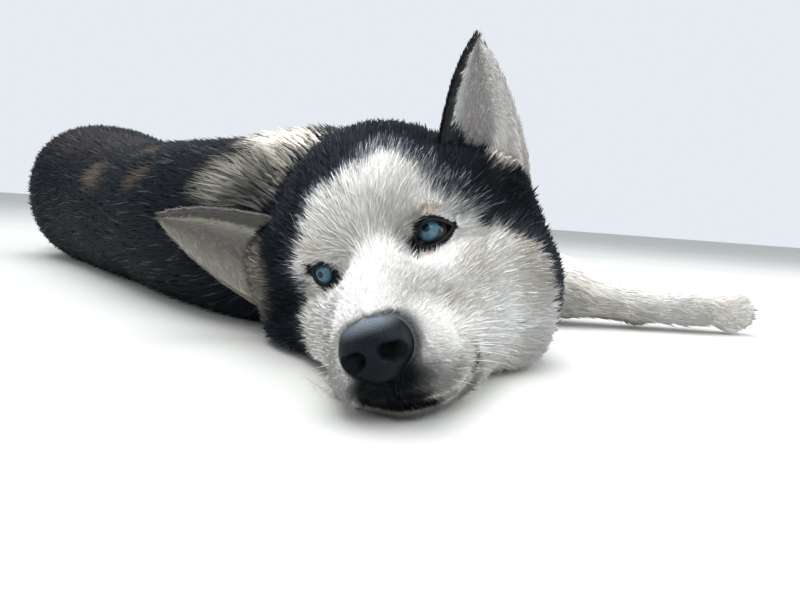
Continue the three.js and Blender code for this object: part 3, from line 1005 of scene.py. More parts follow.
@dataclass(frozen=True)
class EyeOpening:
    """The almond between an eye's lids, on a plane across its two corners, in the head's frame."""

    side: int
    inner: tuple
    outer: tuple
    upper: float
    lower: float
    facing: tuple = (0.35, 0.93, 0.06)
    lid_wall: float = 6.0
    rim: float = 1.15
    skew: float = 0.16

    def frame(self) -> tuple[Array, Array, float]:
        """The plane that the lids are drawn on, in the head's frame.

        Returns:
            Its middle, its rows across, up and out, and half the opening's width.
        """
        flip = np.array([self.side, 1, 1])
        a, b = np.array(self.inner) * flip, np.array(self.outer) * flip
        out = unit(np.array(self.facing) * flip)
        across = unit((b - a) - out * ((b - a) @ out))
        up = np.cross(across, out) * self.side
        return (a + b) / 2, np.array([across, up, out]), float((b - a) @ across) / 2

    def local(self, p: Array) -> Array:
        """Points of the dog's frame on the plane: across, up and out."""
        middle, rows, _ = self.frame()
        return (HEAD.inside(p) - middle) @ rows.T

    def lids(self, x: Array) -> tuple[Array, Array]:
        """The upper and lower lids' heights across the opening.

        Args:
            x: places across the opening, from its middle.

        Returns:
            Two heights for each place.
        """
        half = self.frame()[2]
        t = np.clip(x / half, -1, 1)
        bow = np.clip(1 - np.abs(t) ** 2.1, 0, 1)
        return self.upper * bow**0.85 * (1 - self.skew * t), -self.lower * bow**0.9 * (1 - 0.10 * t)

    def outside(self, p: Array) -> Array:
        """How far points are outside the almond, negative within it; large behind the face.

        Args:
            p: points in the dog's frame.

        Returns:
            One distance for each point.
        """
        q = self.local(p)
        high, low = self.lids(q[:, 0])
        tall = np.maximum(q[:, 1] - high, low - q[:, 1])
        gap = np.maximum(tall, np.abs(q[:, 0]) - self.frame()[2])
        return np.where((q[:, 2] > -16) & (q[:, 2] < 25), gap, 99.0)

    def edge(self, count: int) -> Array:
        """Points of the dog's frame round the lids' edge, on the skin.

        Args:
            count: how many points.

        Returns:
            The points, in order round the edge.
        """
        middle, rows, half = self.frame()
        turn = np.linspace(0, 2 * math.pi, count, endpoint=False)
        x = -half * np.cos(turn) * 0.985
        high, low = self.lids(x)
        y = np.where(turn < math.pi, high, low)
        q = np.stack([x, y, np.full(count, 22.0)], 1)
        eye = HEAD.outside(FORM.eye(self.side))
        p = HEAD.outside(q @ rows + middle)
        way = -HEAD.turned(rows[2])
        for _ in range(40):
            on_ball = np.linalg.norm(p - eye, axis=1) - FORM.eye_radius - 0.55
            p = p + way * np.clip(np.minimum(FORM.skin(p), on_ball) * 0.7, -1, 4)[:, None]
        return p


OPENINGS = (
    EyeOpening(1, inner=(25.0, 4.0, -0.1), outer=(49.9, -5.0, 3.1), upper=11.0, lower=5.2, skew=0.34),
    EyeOpening(-1, inner=(29.6, 4.0, -4.2), outer=(42.4, -5.0, 6.2), upper=7.0, lower=6.5),
)


@dataclass(frozen=True)
class Mouth:
    """The closed lips, from one corner round the front to the other, in the head's frame.

    The floor pushes the lower jaw towards the right, so the line is higher on that side.
    """

    line: tuple = (
        (-45, 43, -65), (-42, 47, -69), (-35, 60, -72), (-28, 76, -68), (-21, 94, -59), (-15, 104, -55),
        (-12, 101, -59), (-7, 99, -63), (0, 98, -66), (7, 96, -68), (13, 92, -70), (19, 85, -73),
        (27, 76, -73), (37, 61, -71), (40, 57, -68), (42, 53, -65),
    )
    fold: tuple = ((37, 66, -34), (40, 62, -46), (40, 60, -57), (38, 58, -68))
    groove: float = 2.6

    def gap(self, q: Array, line: tuple) -> Array:
        """How far points of the head's frame are from a line through some places.

        Args:
            q: points of the head's frame.
            line: the places, in order.

        Returns:
            One distance for each point.
        """
        best = np.full(len(q), 1e9)
        for a, b in zip(line, line[1:]):
            start, run = np.array(a, float), np.array(b, float) - np.array(a, float)
            t = np.clip((q - start) @ run / (run @ run), 0, 1)
            best = np.minimum(best, np.linalg.norm(q - start - t[:, None] * run, axis=1))
        return best

    def off(self, p: Array) -> tuple[Array, Array]:
        """How far points are from the lips' line, and how far back they are (0 to 1)."""
        q = HEAD.inside(p)
        return self.gap(q, self.line), np.clip((104 - q[:, 1]) / 60, 0, 1)

    def folded(self, p: Array) -> Array:
        """How far points are from the fold behind each upper lip."""
        return self.gap(mirrored(HEAD.inside(p)), self.fold)

    def below(self, q: Array) -> Array:
        """How far points of the head's frame are below the line."""
        rows = np.array(self.line, float)
        return np.interp(q[:, 0], rows[:, 0], rows[:, 2]) - q[:, 2]


MOUTH = Mouth()


# Markings

WHITE: Colour = (0.87, 0.86, 0.825)
CREAM: Colour = (0.66, 0.57, 0.45)
TAN: Colour = (0.40, 0.30, 0.21)
SLATE: Colour = (0.05, 0.056, 0.072)
BLACK: Colour = (0.0045, 0.0075, 0.0115)
UMBER: Colour = (0.040, 0.035, 0.034)
RIM_BLACK: Colour = (0.010, 0.010, 0.013)
LILAC: Colour = (0.46, 0.44, 0.48)


def plain(colour: Colour, count: int) -> Array:
    """One colour for each of some points."""
    return np.tile(np.array(colour), (count, 1))


def mixed(a: Array, b: Colour | Array, share: Array) -> Array:
    """Colours a turned into b by a share of 0 to 1."""
    return a + (np.asarray(b) - a) * share[:, None]


@dataclass(frozen=True)
class Patches:
    """Soft oval patches, each (centre, radii, shade, most), that fade between two shares of the radii."""

    ovals: tuple
    inner: float
    outer: float

    def laid(self, colour: Array, p: Array, stray: Array | float = 0.0,
             share: Array | float = 1.0) -> Array:
        """Lays the patches over the colours of some points.

        Args:
            colour: the points' colours so far.
            p: the points, in the frame of the patches.
            stray: what frays the patches' edges, in shares of their radii.
            share: how much of the patches shows.

        Returns:
            The new colours.
        """
        for centre, radii, shade, most in self.ovals:
            gap = oval(p, centre, radii) + stray
            colour = mixed(colour, shade, most * (1 - ramp(gap, self.inner, self.outer)) * share)
        return colour


CHEEK_PATCHES = Patches((
    ((58, 4, -24), (22, 22, 16), CREAM, 0.35), ((92, -34, -40), (26, 30, 34), CREAM, 0.42),
    ((40, 38, -36), (16, 26, 14), CREAM, 0.30), ((40, 6, 19), (14, 12, 7), CREAM, 0.55),
    ((30, 4, -14), (10, 10, 8), TAN, 0.22), ((22, 10, 10), (6, 10, 9), TAN, 0.20),
), 0.35, 1.25)
# The left bowl is pale hair by the left ear's root; the right bowl is painted shade, a dim grey-tan by the
# right ear's root.
EAR_BOWLS_PALE_AND_SHADED = Patches((
    ((98, -62, 35), (14, 25, 13), (0.84, 0.79, 0.73), 0.92),
    ((-100, -52, 14), (24, 32, 36), (0.22, 0.205, 0.17), 0.92),
), 0.75, 1.15)
LIP_SHADE = Patches((
    ((2, 104, -52), (25, 22, 15), SLATE, 0.8),
    ((-1, 106, -50), (20.5, 18, 13), (0.008, 0.010, 0.013), 0.98),
    ((2, 98, -63), (21, 18, 6), (0.007, 0.009, 0.012), 0.96),
), 0.6, 1.15)
LIP_FLUSH = Patches((((26, 84, -60), (16, 20, 9), (0.34, 0.29, 0.26), 0.55),), 0.4, 1.2)
BODY_PATCHES = Patches((
    ((266, 456, 159), (36, 52, 22), (0.76, 0.70, 0.62), 0.95),
    ((222, 450, 116), (34, 48, 30), (0.34, 0.32, 0.27), 0.95),
    ((240, 432, 134), (28, 28, 26), (0.36, 0.335, 0.28), 0.85),
    ((228, 426, 108), (26, 26, 26), (0.30, 0.28, 0.235), 0.85),
    # The broad UMBER oval along the top of the back is partly brownish hair, partly painted sheen on the
    # topline.
    ((250, 900, 176), (74, 150, 44), UMBER, 0.6), ((206, 790, 126), (28, 46, 28), TAN, 0.26),
    ((206, 640, 123), (26, 34, 20), TAN, 0.18), ((236, 690, 154), (26, 34, 20), TAN, 0.16),
), 0.45, 1.2)


@dataclass(frozen=True)
class Markings:
    """Where the coat is white, cream, slate and black, by place on the dog and never by view.

    The mask's edge is how far forward (f) the dark hood reaches, by the angle round the face from
    level (0) to the crown (90) and the throat (-90).
    """

    angles: tuple = (-90, -60, -45, -26, -19, -11, -1, 4, 9, 19, 33, 40, 48, 57, 66, 73, 80, 90)
    edge_left: tuple = (
        -160, -80, -58, -42, -41, -35, -26, -22, -17, -9, -4, -3, -7, -12, -17, -19, -11, -6)
    edge_right: tuple = (-160, -70, -22, 5, 2, -3, 0, -4, -4, -6, -4, -2, -3, -5, -7, -6, -6, -6)
    corner: tuple = (37, 61, -71)
    corner_way: tuple = (0.447, -0.715, 0.536)

    def head(self, p: Array, speck: Array) -> Array:
        """The head's colours.

        Args:
            p: points in the dog's frame.
            speck: a random number for each point, which frays the edges.

        Returns:
            One colour for each point.
        """
        q = HEAD.inside(p)
        angle = np.degrees(np.arctan2(q[:, 2] + 10, np.abs(q[:, 0])))
        left = np.interp(angle, self.angles, self.edge_left)
        right = np.interp(angle, self.angles, self.edge_right)
        side = ramp(q[:, 0], -14, 14)
        edge = left * side + right * (1 - side)
        fray = value_noise(p, 7.0, 3) * 3.0 + value_noise(p, 2.5, 4) * 2.0 + (speck - 0.5) * 7.0
        behind = edge - q[:, 1] + fray
        m = mirrored(q)
        colour = CHEEK_PATCHES.laid(plain(WHITE, len(p)), m)
        hood = mixed(plain(SLATE, len(p)), BLACK, ramp(behind, 3, 12 + 14 * side) * 0.92)
        streak = (speck > 0.55 + 0.45 * behind / (8 + 18 * side)) & (angle > 12)
        hood = mixed(hood, (0.42, 0.43, 0.45), streak * 0.8)
        colour = mixed(colour, hood, ramp(behind, -2.0, 3.0))
        colour = EAR_BOWLS_PALE_AND_SHADED.laid(colour, q, (speck - 0.5) * 0.3, ramp(q[:, 1], -90, -72))
        return self.features(p, q, m, colour, speck)

    def features(self, p: Array, q: Array, m: Array, colour: Array, speck: Array) -> Array:
        """Adds the dark lid rims, tear marks, lips and the shade under the nose, with painted shade under
        the chin and along the fold behind each upper lip.

        Args:
            p: points in the dog's frame.
            q: the same points in the head's frame.
            m: those folded onto the left side.
            colour: the colours so far.
            speck: a random number for each point, which frays the edges.

        Returns:
            One colour for each point.
        """
        for opening in OPENINGS:
            near = opening.outside(p) + (speck - 0.5) * 2.4
            place = opening.local(p)[:, 0] / opening.frame()[2]
            wide = 2.6 + (3.2 if opening.side > 0 else 1.2) * ramp(-place, 0.0, 1.0)
            wide = wide + (0.0 if opening.side > 0 else 1.4) * ramp(place, 0.2, 1.0)
            colour = mixed(colour, RIM_BLACK, 1 - ramp(near, wide * 0.75, wide * 1.5))
        tear = bone(m, (26, 9, -3), (21.5, 17, -13), (2.6, 1.2))
        colour = mixed(colour, (0.05, 0.042, 0.045), (1 - ramp(tear, -0.5, 2.2)) * 0.85)
        smudge = 1.0 + 3.6 * ramp(q[:, 0], -6, 12) * ramp(q[:, 2], -12, -26)
        around = 1 - ramp(FORM.nose(q), smudge * 0.4, smudge * 1.7)
        colour = mixed(colour, (0.05, 0.055, 0.07), 0.85 * around)
        colour = mixed(colour, (0.002, 0.002, 0.003), ramp(-FORM.nose(q), 0.3, 1.0))
        gap, back = MOUTH.off(p)
        # Painted shade under the jaw: the chin is darkened below the lips, with a painted lighter rim
        # towards its sides.
        painted_chin_shade = ramp(MOUTH.below(q), 1.5, 3.5) * ramp(q[:, 1], 40, 56)
        painted_lit_chin_sides = ramp(np.abs(q[:, 0] - 2), 10, 26)
        colour = mixed(colour, (0.11, 0.105, 0.09), painted_chin_shade * 0.9)
        colour = mixed(colour, (0.34, 0.32, 0.27), painted_chin_shade * painted_lit_chin_sides * 0.9)
        colour = LIP_SHADE.laid(colour, q, share=1 - painted_chin_shade * 0.9)
        line = np.interp(back, [0, 0.28, 0.38, 0.66, 0.72, 1], [1, 1, 0.3, 0.3, 0, 0])
        line = line * (1 - 0.7 * ramp(-q[:, 0], 14, 18))
        colour = mixed(colour, (0.004, 0.005, 0.007), (1 - ramp(gap, 2.0, 3.6)) * line)
        along = (q - np.array(self.corner)) @ np.array(self.corner_way)
        stitch = ramp(np.sin(along * 1.9), -0.8, -0.2) * (1 - ramp(np.abs(along - 7.0), 7.5, 9.5))
        colour = mixed(colour, (0.006, 0.006, 0.008), (1 - ramp(gap, 4.2, 5.6)) * (stitch * (q[:, 0] > 0)))
        # Painted shade: the hair darkens along the fold behind each upper lip.
        colour = colour * (1 - ridge(MOUTH.folded(p), 0.0, 3.0, 0.34))[:, None]
        return LIP_FLUSH.laid(colour, m, share=q[:, 0] > 0)

    def body(self, p: Array, d: dict[str, Array], speck: Array) -> Array:
        """The colours of everything behind the head.

        Args:
            p: points in the dog's frame.
            d: each region's distance at the points.
            speck: a random number for each point, which frays the edges.

        Returns:
            One colour for each point.
        """
        x, y, z = p.T
        fray = value_noise(p, 30.0, 6) * 12 + value_noise(p, 9.0, 7) * 7 + (speck - 0.5) * 9
        brown = np.clip(value_noise(p, 38.0, 8) * 0.5 + (speck - 0.5) * 0.6, 0, 0.35)
        # Brown shows more towards the top: partly the coat's own brownish hair, partly painted sheen on the
        # upper side.
        dark = mixed(plain(BLACK, len(p)), UMBER, brown * (0.25 + 0.75 * ramp(z, 105, 165)))
        dark = BODY_PATCHES.laid(dark, p, fray * 0.012)
        spots = value_noise(p, 16.0, 9)
        dark = mixed(dark, (0.05, 0.045, 0.045), ramp(spots, 0.32, 0.6) * (y < 520) * 0.5)
        creamy = np.clip(value_noise(p, 45.0, 10) * 0.4 + 0.2, 0, 0.5)
        white = mixed(plain(WHITE, len(p)), CREAM, creamy)
        line = 372 + 18 * ramp(y, 700, 900) + 30 * ramp(y, 900, 1010)
        belly = ramp(x + fray, line - 10, line + 22)
        throat = ramp(x + fray - (y - 400) * 0.4, 322, 356) * (y < 520)
        colour = mixed(dark, white, np.clip(np.maximum(belly, throat), 0, 1))
        grey = ridge(x + fray - line, -4, 15) * (1 - throat)
        colour = mixed(colour, (0.22, 0.19, 0.17), grey * 0.7)
        legs = np.minimum.reduce([d[n] for n in LIMBS if n != "tail"]) - np.minimum(d["trunk"], d["neck"])
        colour = mixed(colour, white, ramp(-legs, -4, 18) * ramp(x + fray * 0.5, 400, 452))
        tail = ramp(d["trunk"] - d["tail"], 0, 30)
        over = ramp(y + fray, 1215, 1300) * 0.4 + ramp(x + fray - (y - 1150) * 0.55, 300, 340)
        return mixed(colour, mixed(dark, white, np.clip(over, 0, 1)), tail)

    def at(self, p: Array, d: dict[str, Array], speck: Array) -> Array:
        """The coat's colour at each point: the head's markings run on over the neck's front."""
        head = ramp(HEAD.inside(p)[:, 1] + value_noise(p, 20.0, 12) * 8, -116, -92)
        return mixed(self.body(p, d, speck), self.head(p, speck), head)


MARKINGS = Markings()


# Skin


@dataclass(frozen=True)
class SkinMaker:
    """One skin over the whole dog: a net over the form, finer on the face, with lids and lips."""

    step: float = 5.0
    coarse: int = 3
    low: tuple = (150.0, 175.0, -4.0)
    high: tuple = (772.0, 1424.0, 246.0)

    def grid(self) -> tuple[Array, list[Array]]:
        """The form sampled on a grid, exactly near the skin and roughly elsewhere.

        Returns:
            The distances, and the grid's places along each axis.
        """
        wide = self.step * self.coarse
        axes = [np.arange(a, b, wide) for a, b in zip(self.low, self.high)]
        rough = FORM.skin(np.stack(np.meshgrid(*axes, indexing="ij"), -1).reshape(-1, 3))
        rough = rough.reshape([len(a) for a in axes])
        fine = [a[0] + np.arange(len(a) * self.coarse) * self.step for a in axes]
        for axis in range(3):
            rough = np.repeat(rough, self.coarse, axis=axis)
        near = np.abs(rough) < wide * 2.2
        index = np.argwhere(near)
        points = np.stack([fine[k][index[:, k]] for k in range(3)], 1)
        values = rough.copy()
        values[near] = FORM.skin(points)
        return values, fine

    def net(self) -> tuple[Array, Array]:
        """A surface net through the grid: points and four-sided faces.

        Returns:
            The points and the faces' vertex indices.
        """
        v, axes = self.grid()
        inside = v < 0
        shape = tuple(n - 1 for n in v.shape)
        corners = [(i, j, k) for i in (0, 1) for j in (0, 1) for k in (0, 1)]
        count = sum(inside[i : i + shape[0], j : j + shape[1], k : k + shape[2]].astype(np.int8)
                    for i, j, k in corners)
        cells = np.argwhere((count > 0) & (count < 8))
        number = np.full(shape, -1, np.int64)
        number[tuple(cells.T)] = np.arange(len(cells))
        total, hits = np.zeros((len(cells), 3)), np.zeros(len(cells))
        for a in corners:
            for axis in range(3):
                if a[axis]:
                    continue
                b = tuple(a[n] + (n == axis) for n in range(3))
                va, vb = (v[tuple((cells + np.array(c)).T)] for c in (a, b))
                cross = (va < 0) != (vb < 0)
                t = np.where(cross, va / np.where(va == vb, 1, va - vb), 0)
                at = cells + np.array(a, float)
                at[:, axis] += t
                total += at * cross[:, None]
                hits += cross
        start = np.array([a[0] for a in axes])
        points = start + total / hits[:, None] * self.step
        faces = []
        for axis in range(3):
            first, second = [n for n in range(3) if n != axis]
            a = np.argwhere(np.diff(inside.astype(np.int8), axis=axis) != 0)
            keep = (a[:, first] > 0) & (a[:, second] > 0)
            keep &= (a[:, first] < shape[first]) & (a[:, second] < shape[second])
            a = a[keep]
            ring = []
            for df, ds in ((1, 1), (0, 1), (0, 0), (1, 0)):
                cell = a.copy()
                cell[:, first] -= df
                cell[:, second] -= ds
                ring.append(number[tuple(cell.T)])
            quad = np.stack(ring, 1)
            outward = inside[tuple(a.T)] == (axis != 1)
            faces.append(np.where(outward[:, None], quad, quad[:, ::-1]))
        faces = np.concatenate(faces)
        return points, faces[(faces >= 0).all(1)]

    def settle(self, p: Array, rounds: int) -> Array:
        """Moves points onto the skin along its slope.

        Args:
            p: points near the skin.
            rounds: how many steps they take.

        Returns:
            The moved points.
        """
        h = 0.6
        for _ in range(rounds):
            at = FORM.skin(p)
            slope = np.stack([FORM.skin(p + h * e) for e in np.eye(3)], 1) - at[:, None]
            slope /= h
            step = at / np.maximum((slope**2).sum(1), 0.3)
            p = p - slope * np.clip(step, -4, 4)[:, None]
        return p

    def refine(self, bm: bmesh.types.BMesh, wanted: Callable[[Array], Array]) -> None:
        """Halves the faces whose corners are wanted.

        Args:
            bm: the skin's mesh.
            wanted: tells which of some points are wanted.
        """
        co = np.array([v.co[:] for v in bm.verts])
        mark = wanted(co)
        edges = [e for e in bm.edges if mark[e.verts[0].index] and mark[e.verts[1].index]]
        bmesh.ops.subdivide_edges(bm, edges=edges, cuts=1, use_grid_fill=True)
        bm.verts.index_update()

    def face_zone(self, p: Array) -> Array:
        """Where the face needs a fine net."""
        q = HEAD.inside(p)
        return (q[:, 1] > -52) & (np.abs(q[:, 0]) < 105) & (np.abs(q[:, 2]) < 115)

    def fine_zone(self, p: Array) -> Array:
        """Where the lids and lips need the finest net.

        Args:
            p: points in the dog's frame.

        Returns:
            Whether each point lies there.
        """
        q = mirrored(HEAD.inside(p))
        near_eye = np.linalg.norm(q - np.array([37.0, -2.0, 0.0]), axis=1) < 25
        near_nose = np.linalg.norm(q - np.array([0, 104, -40]), axis=1) < 24
        return near_eye | (MOUTH.off(p)[0] < 9) | near_nose

    def lid_zone(self, p: Array) -> Array:
        """Where the lids' own edges need a still finer net."""
        return np.minimum(*(np.abs(o.outside(p)) for o in OPENINGS)) < 3.0

    def sculpted(self, p: Array) -> Array:
        """Opens the lids and presses in the line of the lips and the groove under the nose.

        Args:
            p: points of the skin.

        Returns:
            The moved points.
        """
        eps = 0.5
        for opening in OPENINGS:
            way = HEAD.turned(opening.frame()[1][2])
            outside = opening.outside(p)
            sink = ramp(-outside, -0.2, 1.1) * opening.lid_wall
            fold = ridge(outside, 5.0, 1.3, 0.8) * (opening.local(p)[:, 1] > 0)
            swell = ridge(outside, 2.2, 1.6, 0.7)
            p = p - way * (sink + fold - swell)[:, None]
        gap, back = MOUTH.off(p)
        close = gap < 14
        if close.any():
            at = p[close]
            slope = np.stack([FORM.skin(at + eps * e) - FORM.skin(at) for e in np.eye(3)], 1)
            depth = ridge(gap[close], 0.0, 1.5, MOUTH.groove) * (1 - 0.3 * back[close])
            lips = ridge(gap[close], 3.6, 2.2, 1.1)
            p = p.copy()
            p[close] -= unit(slope) * (depth - lips)[:, None]
        fold = MOUTH.folded(p)
        outwards = HEAD.turned(np.stack([np.sign(HEAD.inside(p)[:, 0]), 0 * fold, 0 * fold], 1))
        p = p - outwards * ridge(fold, 0.0, 2.6, 2.6)[:, None]
        q = HEAD.inside(p)
        cleft = ridge(q[:, 0], 0.0, 1.3) * ramp(q[:, 2], -62, -56) * ramp(q[:, 1], 92, 100)
        under = np.clip(2.2 - FORM.nose(q), 0, 9) * (q[:, 1] > 84)
        return p - HEAD.turned(np.array([0.0, 1.0, 0.0])) * (2.0 * cleft + under)[:, None]

    def make(self) -> tuple[Array, list]:
        """Makes the skin, before the ears join it.

        Returns:
            Its points, in the dog's frame, and its faces' vertex indices.
        """
        points, faces = self.net()
        points = self.settle(points, 3)
        me = bpy.data.meshes.new("net")
        me.from_pydata(points.tolist(), [], faces.tolist())
        bm = bmesh.new()
        bm.from_mesh(me)
        bpy.data.meshes.remove(me)
        for _ in range(2):
            bmesh.ops.smooth_vert(
                bm, verts=bm.verts, factor=0.4, use_axis_x=True, use_axis_y=True, use_axis_z=True)
        for zone in (self.face_zone, self.fine_zone, self.lid_zone):
            self.refine(bm, zone)
        bmesh.ops.recalc_face_normals(bm, faces=bm.faces)
        bm.verts.ensure_lookup_table()
        points = self.sculpted(self.settle(np.array([v.co[:] for v in bm.verts]), 3))
        faces = [[v.index for v in f.verts] for f in bm.faces]
        bm.free()
        return points, faces


# Ears


@dataclass(frozen=True)
class Ear:
    """One cupped leaf, its hollow side forward, in the head's frame."""

    base: tuple
    tip: tuple
    across: tuple
    length: float
    half_width: float = 42.0
    thickness: float = 3.2
    curl: float = 17.0
    rows: int = 40
    medial: int = 1
    dark_base: float = 0.44
    dark_edge: float = 0.80
    painted_inner_light: float = 1.0
    painted_lit_back_edge: float = 0.0
    pointed: float = 0.93
    columns: int = 52
    root: float = -0.16

    def frame(self) -> tuple[Array, Array, Array, Array]:
        """The ear's own frame, within the dog's.

        Returns:
            Its base and the directions along, across and back.
        """
        base = HEAD.outside(self.base)
        along = unit(HEAD.outside(self.tip) - base)
        width = HEAD.turned(self.across)
        width = unit(width - along * (width @ along))
        return base, along, width, np.cross(width, along)

    def leaf(self, h: Array, s: Array) -> Array:
        """Points of the leaf's middle at heights h and places s (-1 to 1) across it.

        Args:
            h: heights, 1 at the tip.
            s: places across.

        Returns:
            One point for each place.
        """
        base, along, width, back = self.frame()
        up = np.clip(h, 0, 1)
        outline = (1 - (up * self.pointed) ** 1.7) * (1 - 0.12 * (1 - up)) * np.sqrt(1 - up**14)
        half = (self.half_width * outline + 0.8) * (1 + 0.25 * np.minimum(h, 0) / 0.2)
        hollow = self.curl * (1 - up) ** 0.7 + 9.0 * ramp(h, 0.42, -0.05) * (1 - np.abs(s) ** 1.5)
        lip = 2.2 * ramp(np.abs(s), 0.78, 1.0) * (1 - up)
        flute = 0.9 * np.sin(s * 9.0 + h * 3.0) * ramp(h, 0.75, 0.1) * (1 - s**2)
        off = hollow * (1 - s**2) - lip + flute
        return base + np.outer(h * self.length, along) + (s * half)[:, None] * width + off[:, None] * back

    def make(self) -> tuple[Array, list, Array, Array, Array]:
        """Makes the ear, with its hollow side and its back.

        Returns:
            Points, faces, heights, places across, and 1 on the hollow side or 0 behind.
        """
        h = np.linspace(self.root, 1, self.rows)
        turn = np.linspace(0, 2 * math.pi, self.columns, endpoint=False)
        hh, tt = (g.ravel() for g in np.meshgrid(h, turn, indexing="ij"))
        s = np.sign(np.cos(tt)) * np.abs(np.cos(tt)) ** 0.8
        thick = np.sin(tt) * self.thickness / 2 * (1 - 0.5 * np.clip(hh, 0, 1))
        points = self.leaf(hh, s) + thick[:, None] * self.frame()[3]
        return points, ring_faces(self.rows, self.columns), hh, s, (np.sin(tt) < 0).astype(float)

    def colour(self, h: Array, s: Array, hollow: Array, speck: Array) -> Array:
        """The ear's colours: black back and edges, pale lilac and white hair inside, with painted shade
        inside and a painted lit band on the back's edge where asked.

        Args:
            h: heights, 1 at the tip.
            s: places across, from -1 to 1.
            hollow: whether each is on the hollow side.
            speck: a random number for each point, which frays the edges.

        Returns:
            One colour for each point.
        """
        back = mixed(plain(BLACK, len(h)), SLATE, np.clip(0.25 + (speck - 0.5), 0, 1))
        near = s * self.medial
        pale = ramp(-near + (speck - 0.5) * 0.1, 0.55, 0.75) * ramp(h, 0.02, 0.16) * (h < 0.93)
        back = mixed(back, WHITE, pale)
        inner = mixed(plain(WHITE, len(h)), LILAC, ramp(np.abs(s), 0.66, 0.15) * 0.8)
        inner = mixed(inner, (0.50, 0.36, 0.31), ramp(-near, -0.1, 0.6) * ramp(h, 0.42, 0.05) * 0.4)
        # Painted shade: a share below 1 darkens and warms the hollow side.
        inner = inner * np.array([1, 0.97, 0.88]) ** (2 - 2 * self.painted_inner_light) * self.painted_inner_light
        # Painted light: a pale greyish band along the back's edge, where the back catches light from above.
        back = mixed(back, (0.30, 0.25, 0.25), self.painted_lit_back_edge * ramp(near + (speck - 0.5) * 0.2, 0.35, 0.6))
        line = 0.05 + self.dark_base * ramp(near, -0.75, 1.0)
        # The dark edge is black hair; on the right ear a lower dark_edge widens it, partly as painted shade
        # in the fold inside the rim.
        rim = ramp(near + (speck - 0.5) * 0.08, self.dark_edge, self.dark_edge + 0.12) + ramp(h, 0.95, 1.0)
        base = ramp(line - h + (speck - 0.5) * 0.09, -0.01, 0.05)
        dark = np.clip(np.maximum(rim * (1 - 0.25 * self.painted_lit_back_edge), base), 0, 1)
        return mixed(back, mixed(inner, BLACK, dark * 0.96), hollow)


EARS = {
    "ear_left": Ear(
        base=(77, -66, 13), tip=(107, -60, 121), across=(-0.84, 0.48, 0.24), length=105,
        medial=1, dark_base=0.46, dark_edge=0.74),
    # The right ear lies in shadow: painted shade inside and a painted lit band along its back's edge.
    "ear_right": Ear(
        base=(-72, -64, 2), tip=(-158, -62, 80), across=(-0.5, -0.25, -0.86), length=115,
        medial=-1, dark_base=0.06, dark_edge=0.62, painted_inner_light=0.5, painted_lit_back_edge=1.0),
}


# Coat


class Cut(Enum):
    """How a tuft is made: a straight four-faced blade or a bent six-faced lock."""

    BLADE = 1
    LOCK = 2

    def plan(self) -> tuple[Array, Array, Array]:
        """A tuft's faces, its corners' places on the bake patch and how far along the hair they are.

        Returns:
            The faces' vertex indices, and a place and a share for each corner.
        """
        if self is Cut.LOCK:
            faces = [[0, 2, 1], [0, 3, 2], [0, 1, 3], [4, 1, 2], [4, 2, 3], [4, 3, 1]]
            patch = [[-1, 0], [0, 0.8], [0, -0.8], [0.1, 0], [1, 0]]
            return np.array(faces), np.array(patch), np.array([0.0, 0.45, 0.45, 0.5, 1.0])
        faces = [[0, 1, 3], [0, 2, 1], [0, 3, 2], [1, 2, 3]]
        patch = [[-1, 0.8], [-1, -0.8], [0, 0.1], [1, 0]]
        return np.array(faces), np.array(patch), np.array([0.0, 0.0, 0.5, 1.0])


@dataclass(frozen=True)
class Roots:
    """Where tufts grow: places, the skin's normals there, the lie of the hair and what sizes it."""

    place: Array
    normal: Array
    way: Array
    depth: Array
    length: Array
    width: Array
    tint: Array
    tip: Array
    unwrap: Array
    lift: Array

    def some(self, keep: Array) -> "Roots":
        """Only the roots that are kept."""
        return Roots(*(getattr(self, name)[keep] for name in self.__dataclass_fields__))


@dataclass(frozen=True)
class Ground:
    """The skin that hair grows on, with each triangle's middle and region."""

    points: Array
    tris: Array
    normals: Array
    centre: Array
    owner: Array


@dataclass(frozen=True)
class CoatPiece:
    """One piece of the coat: its tufts, their cut, where it grows and the axis it unwraps round."""

    name: str
    tufts: int
    cut: Cut
    slot: str
    axis: tuple = ()
    low: float = 0.0
    high: float = 0.0
    side: int = 0

    def on_head(self, ground: Ground) -> Array:
        """The weight of the head's triangles on one side, between two places forward.

        Args:
            ground: the skin's triangles.

        Returns:
            One weight for each triangle.
        """
        q = HEAD.inside(ground.centre)
        own = (ground.owner == "head") & (q[:, 0] * self.side >= 0)
        weight = np.interp(q[:, 1], [-130, -60, -20, 60], [0.6, 0.8, 1.0, 1.25])
        return weight * (own & (q[:, 1] > self.low) & (q[:, 1] <= self.high))

    def on_trunk(self, ground: Ground) -> Array:
        """The weight of the neck's and trunk's triangles between two places along y.

        Args:
            ground: the skin's triangles.

        Returns:
            One weight for each triangle.
        """
        behind = (ground.owner == "head") & (HEAD.inside(ground.centre)[:, 1] <= -130)
        own = (ground.owner == "trunk") | (ground.owner == "neck") | behind
        y = ground.centre[:, 1]
        return (own & (y > self.low) & (y <= self.high)).astype(float)

    def weight(self, ground: Ground) -> Array:
        """The weight of each triangle of the ground, 0 where the piece doesn't grow.

        Args:
            ground: the skin's triangles.

        Returns:
            One weight for each triangle.
        """
        if self.side:
            return self.on_head(ground)
        if self.high:
            return self.on_trunk(ground)
        return (ground.owner == self.name.removeprefix("coat_")).astype(float)


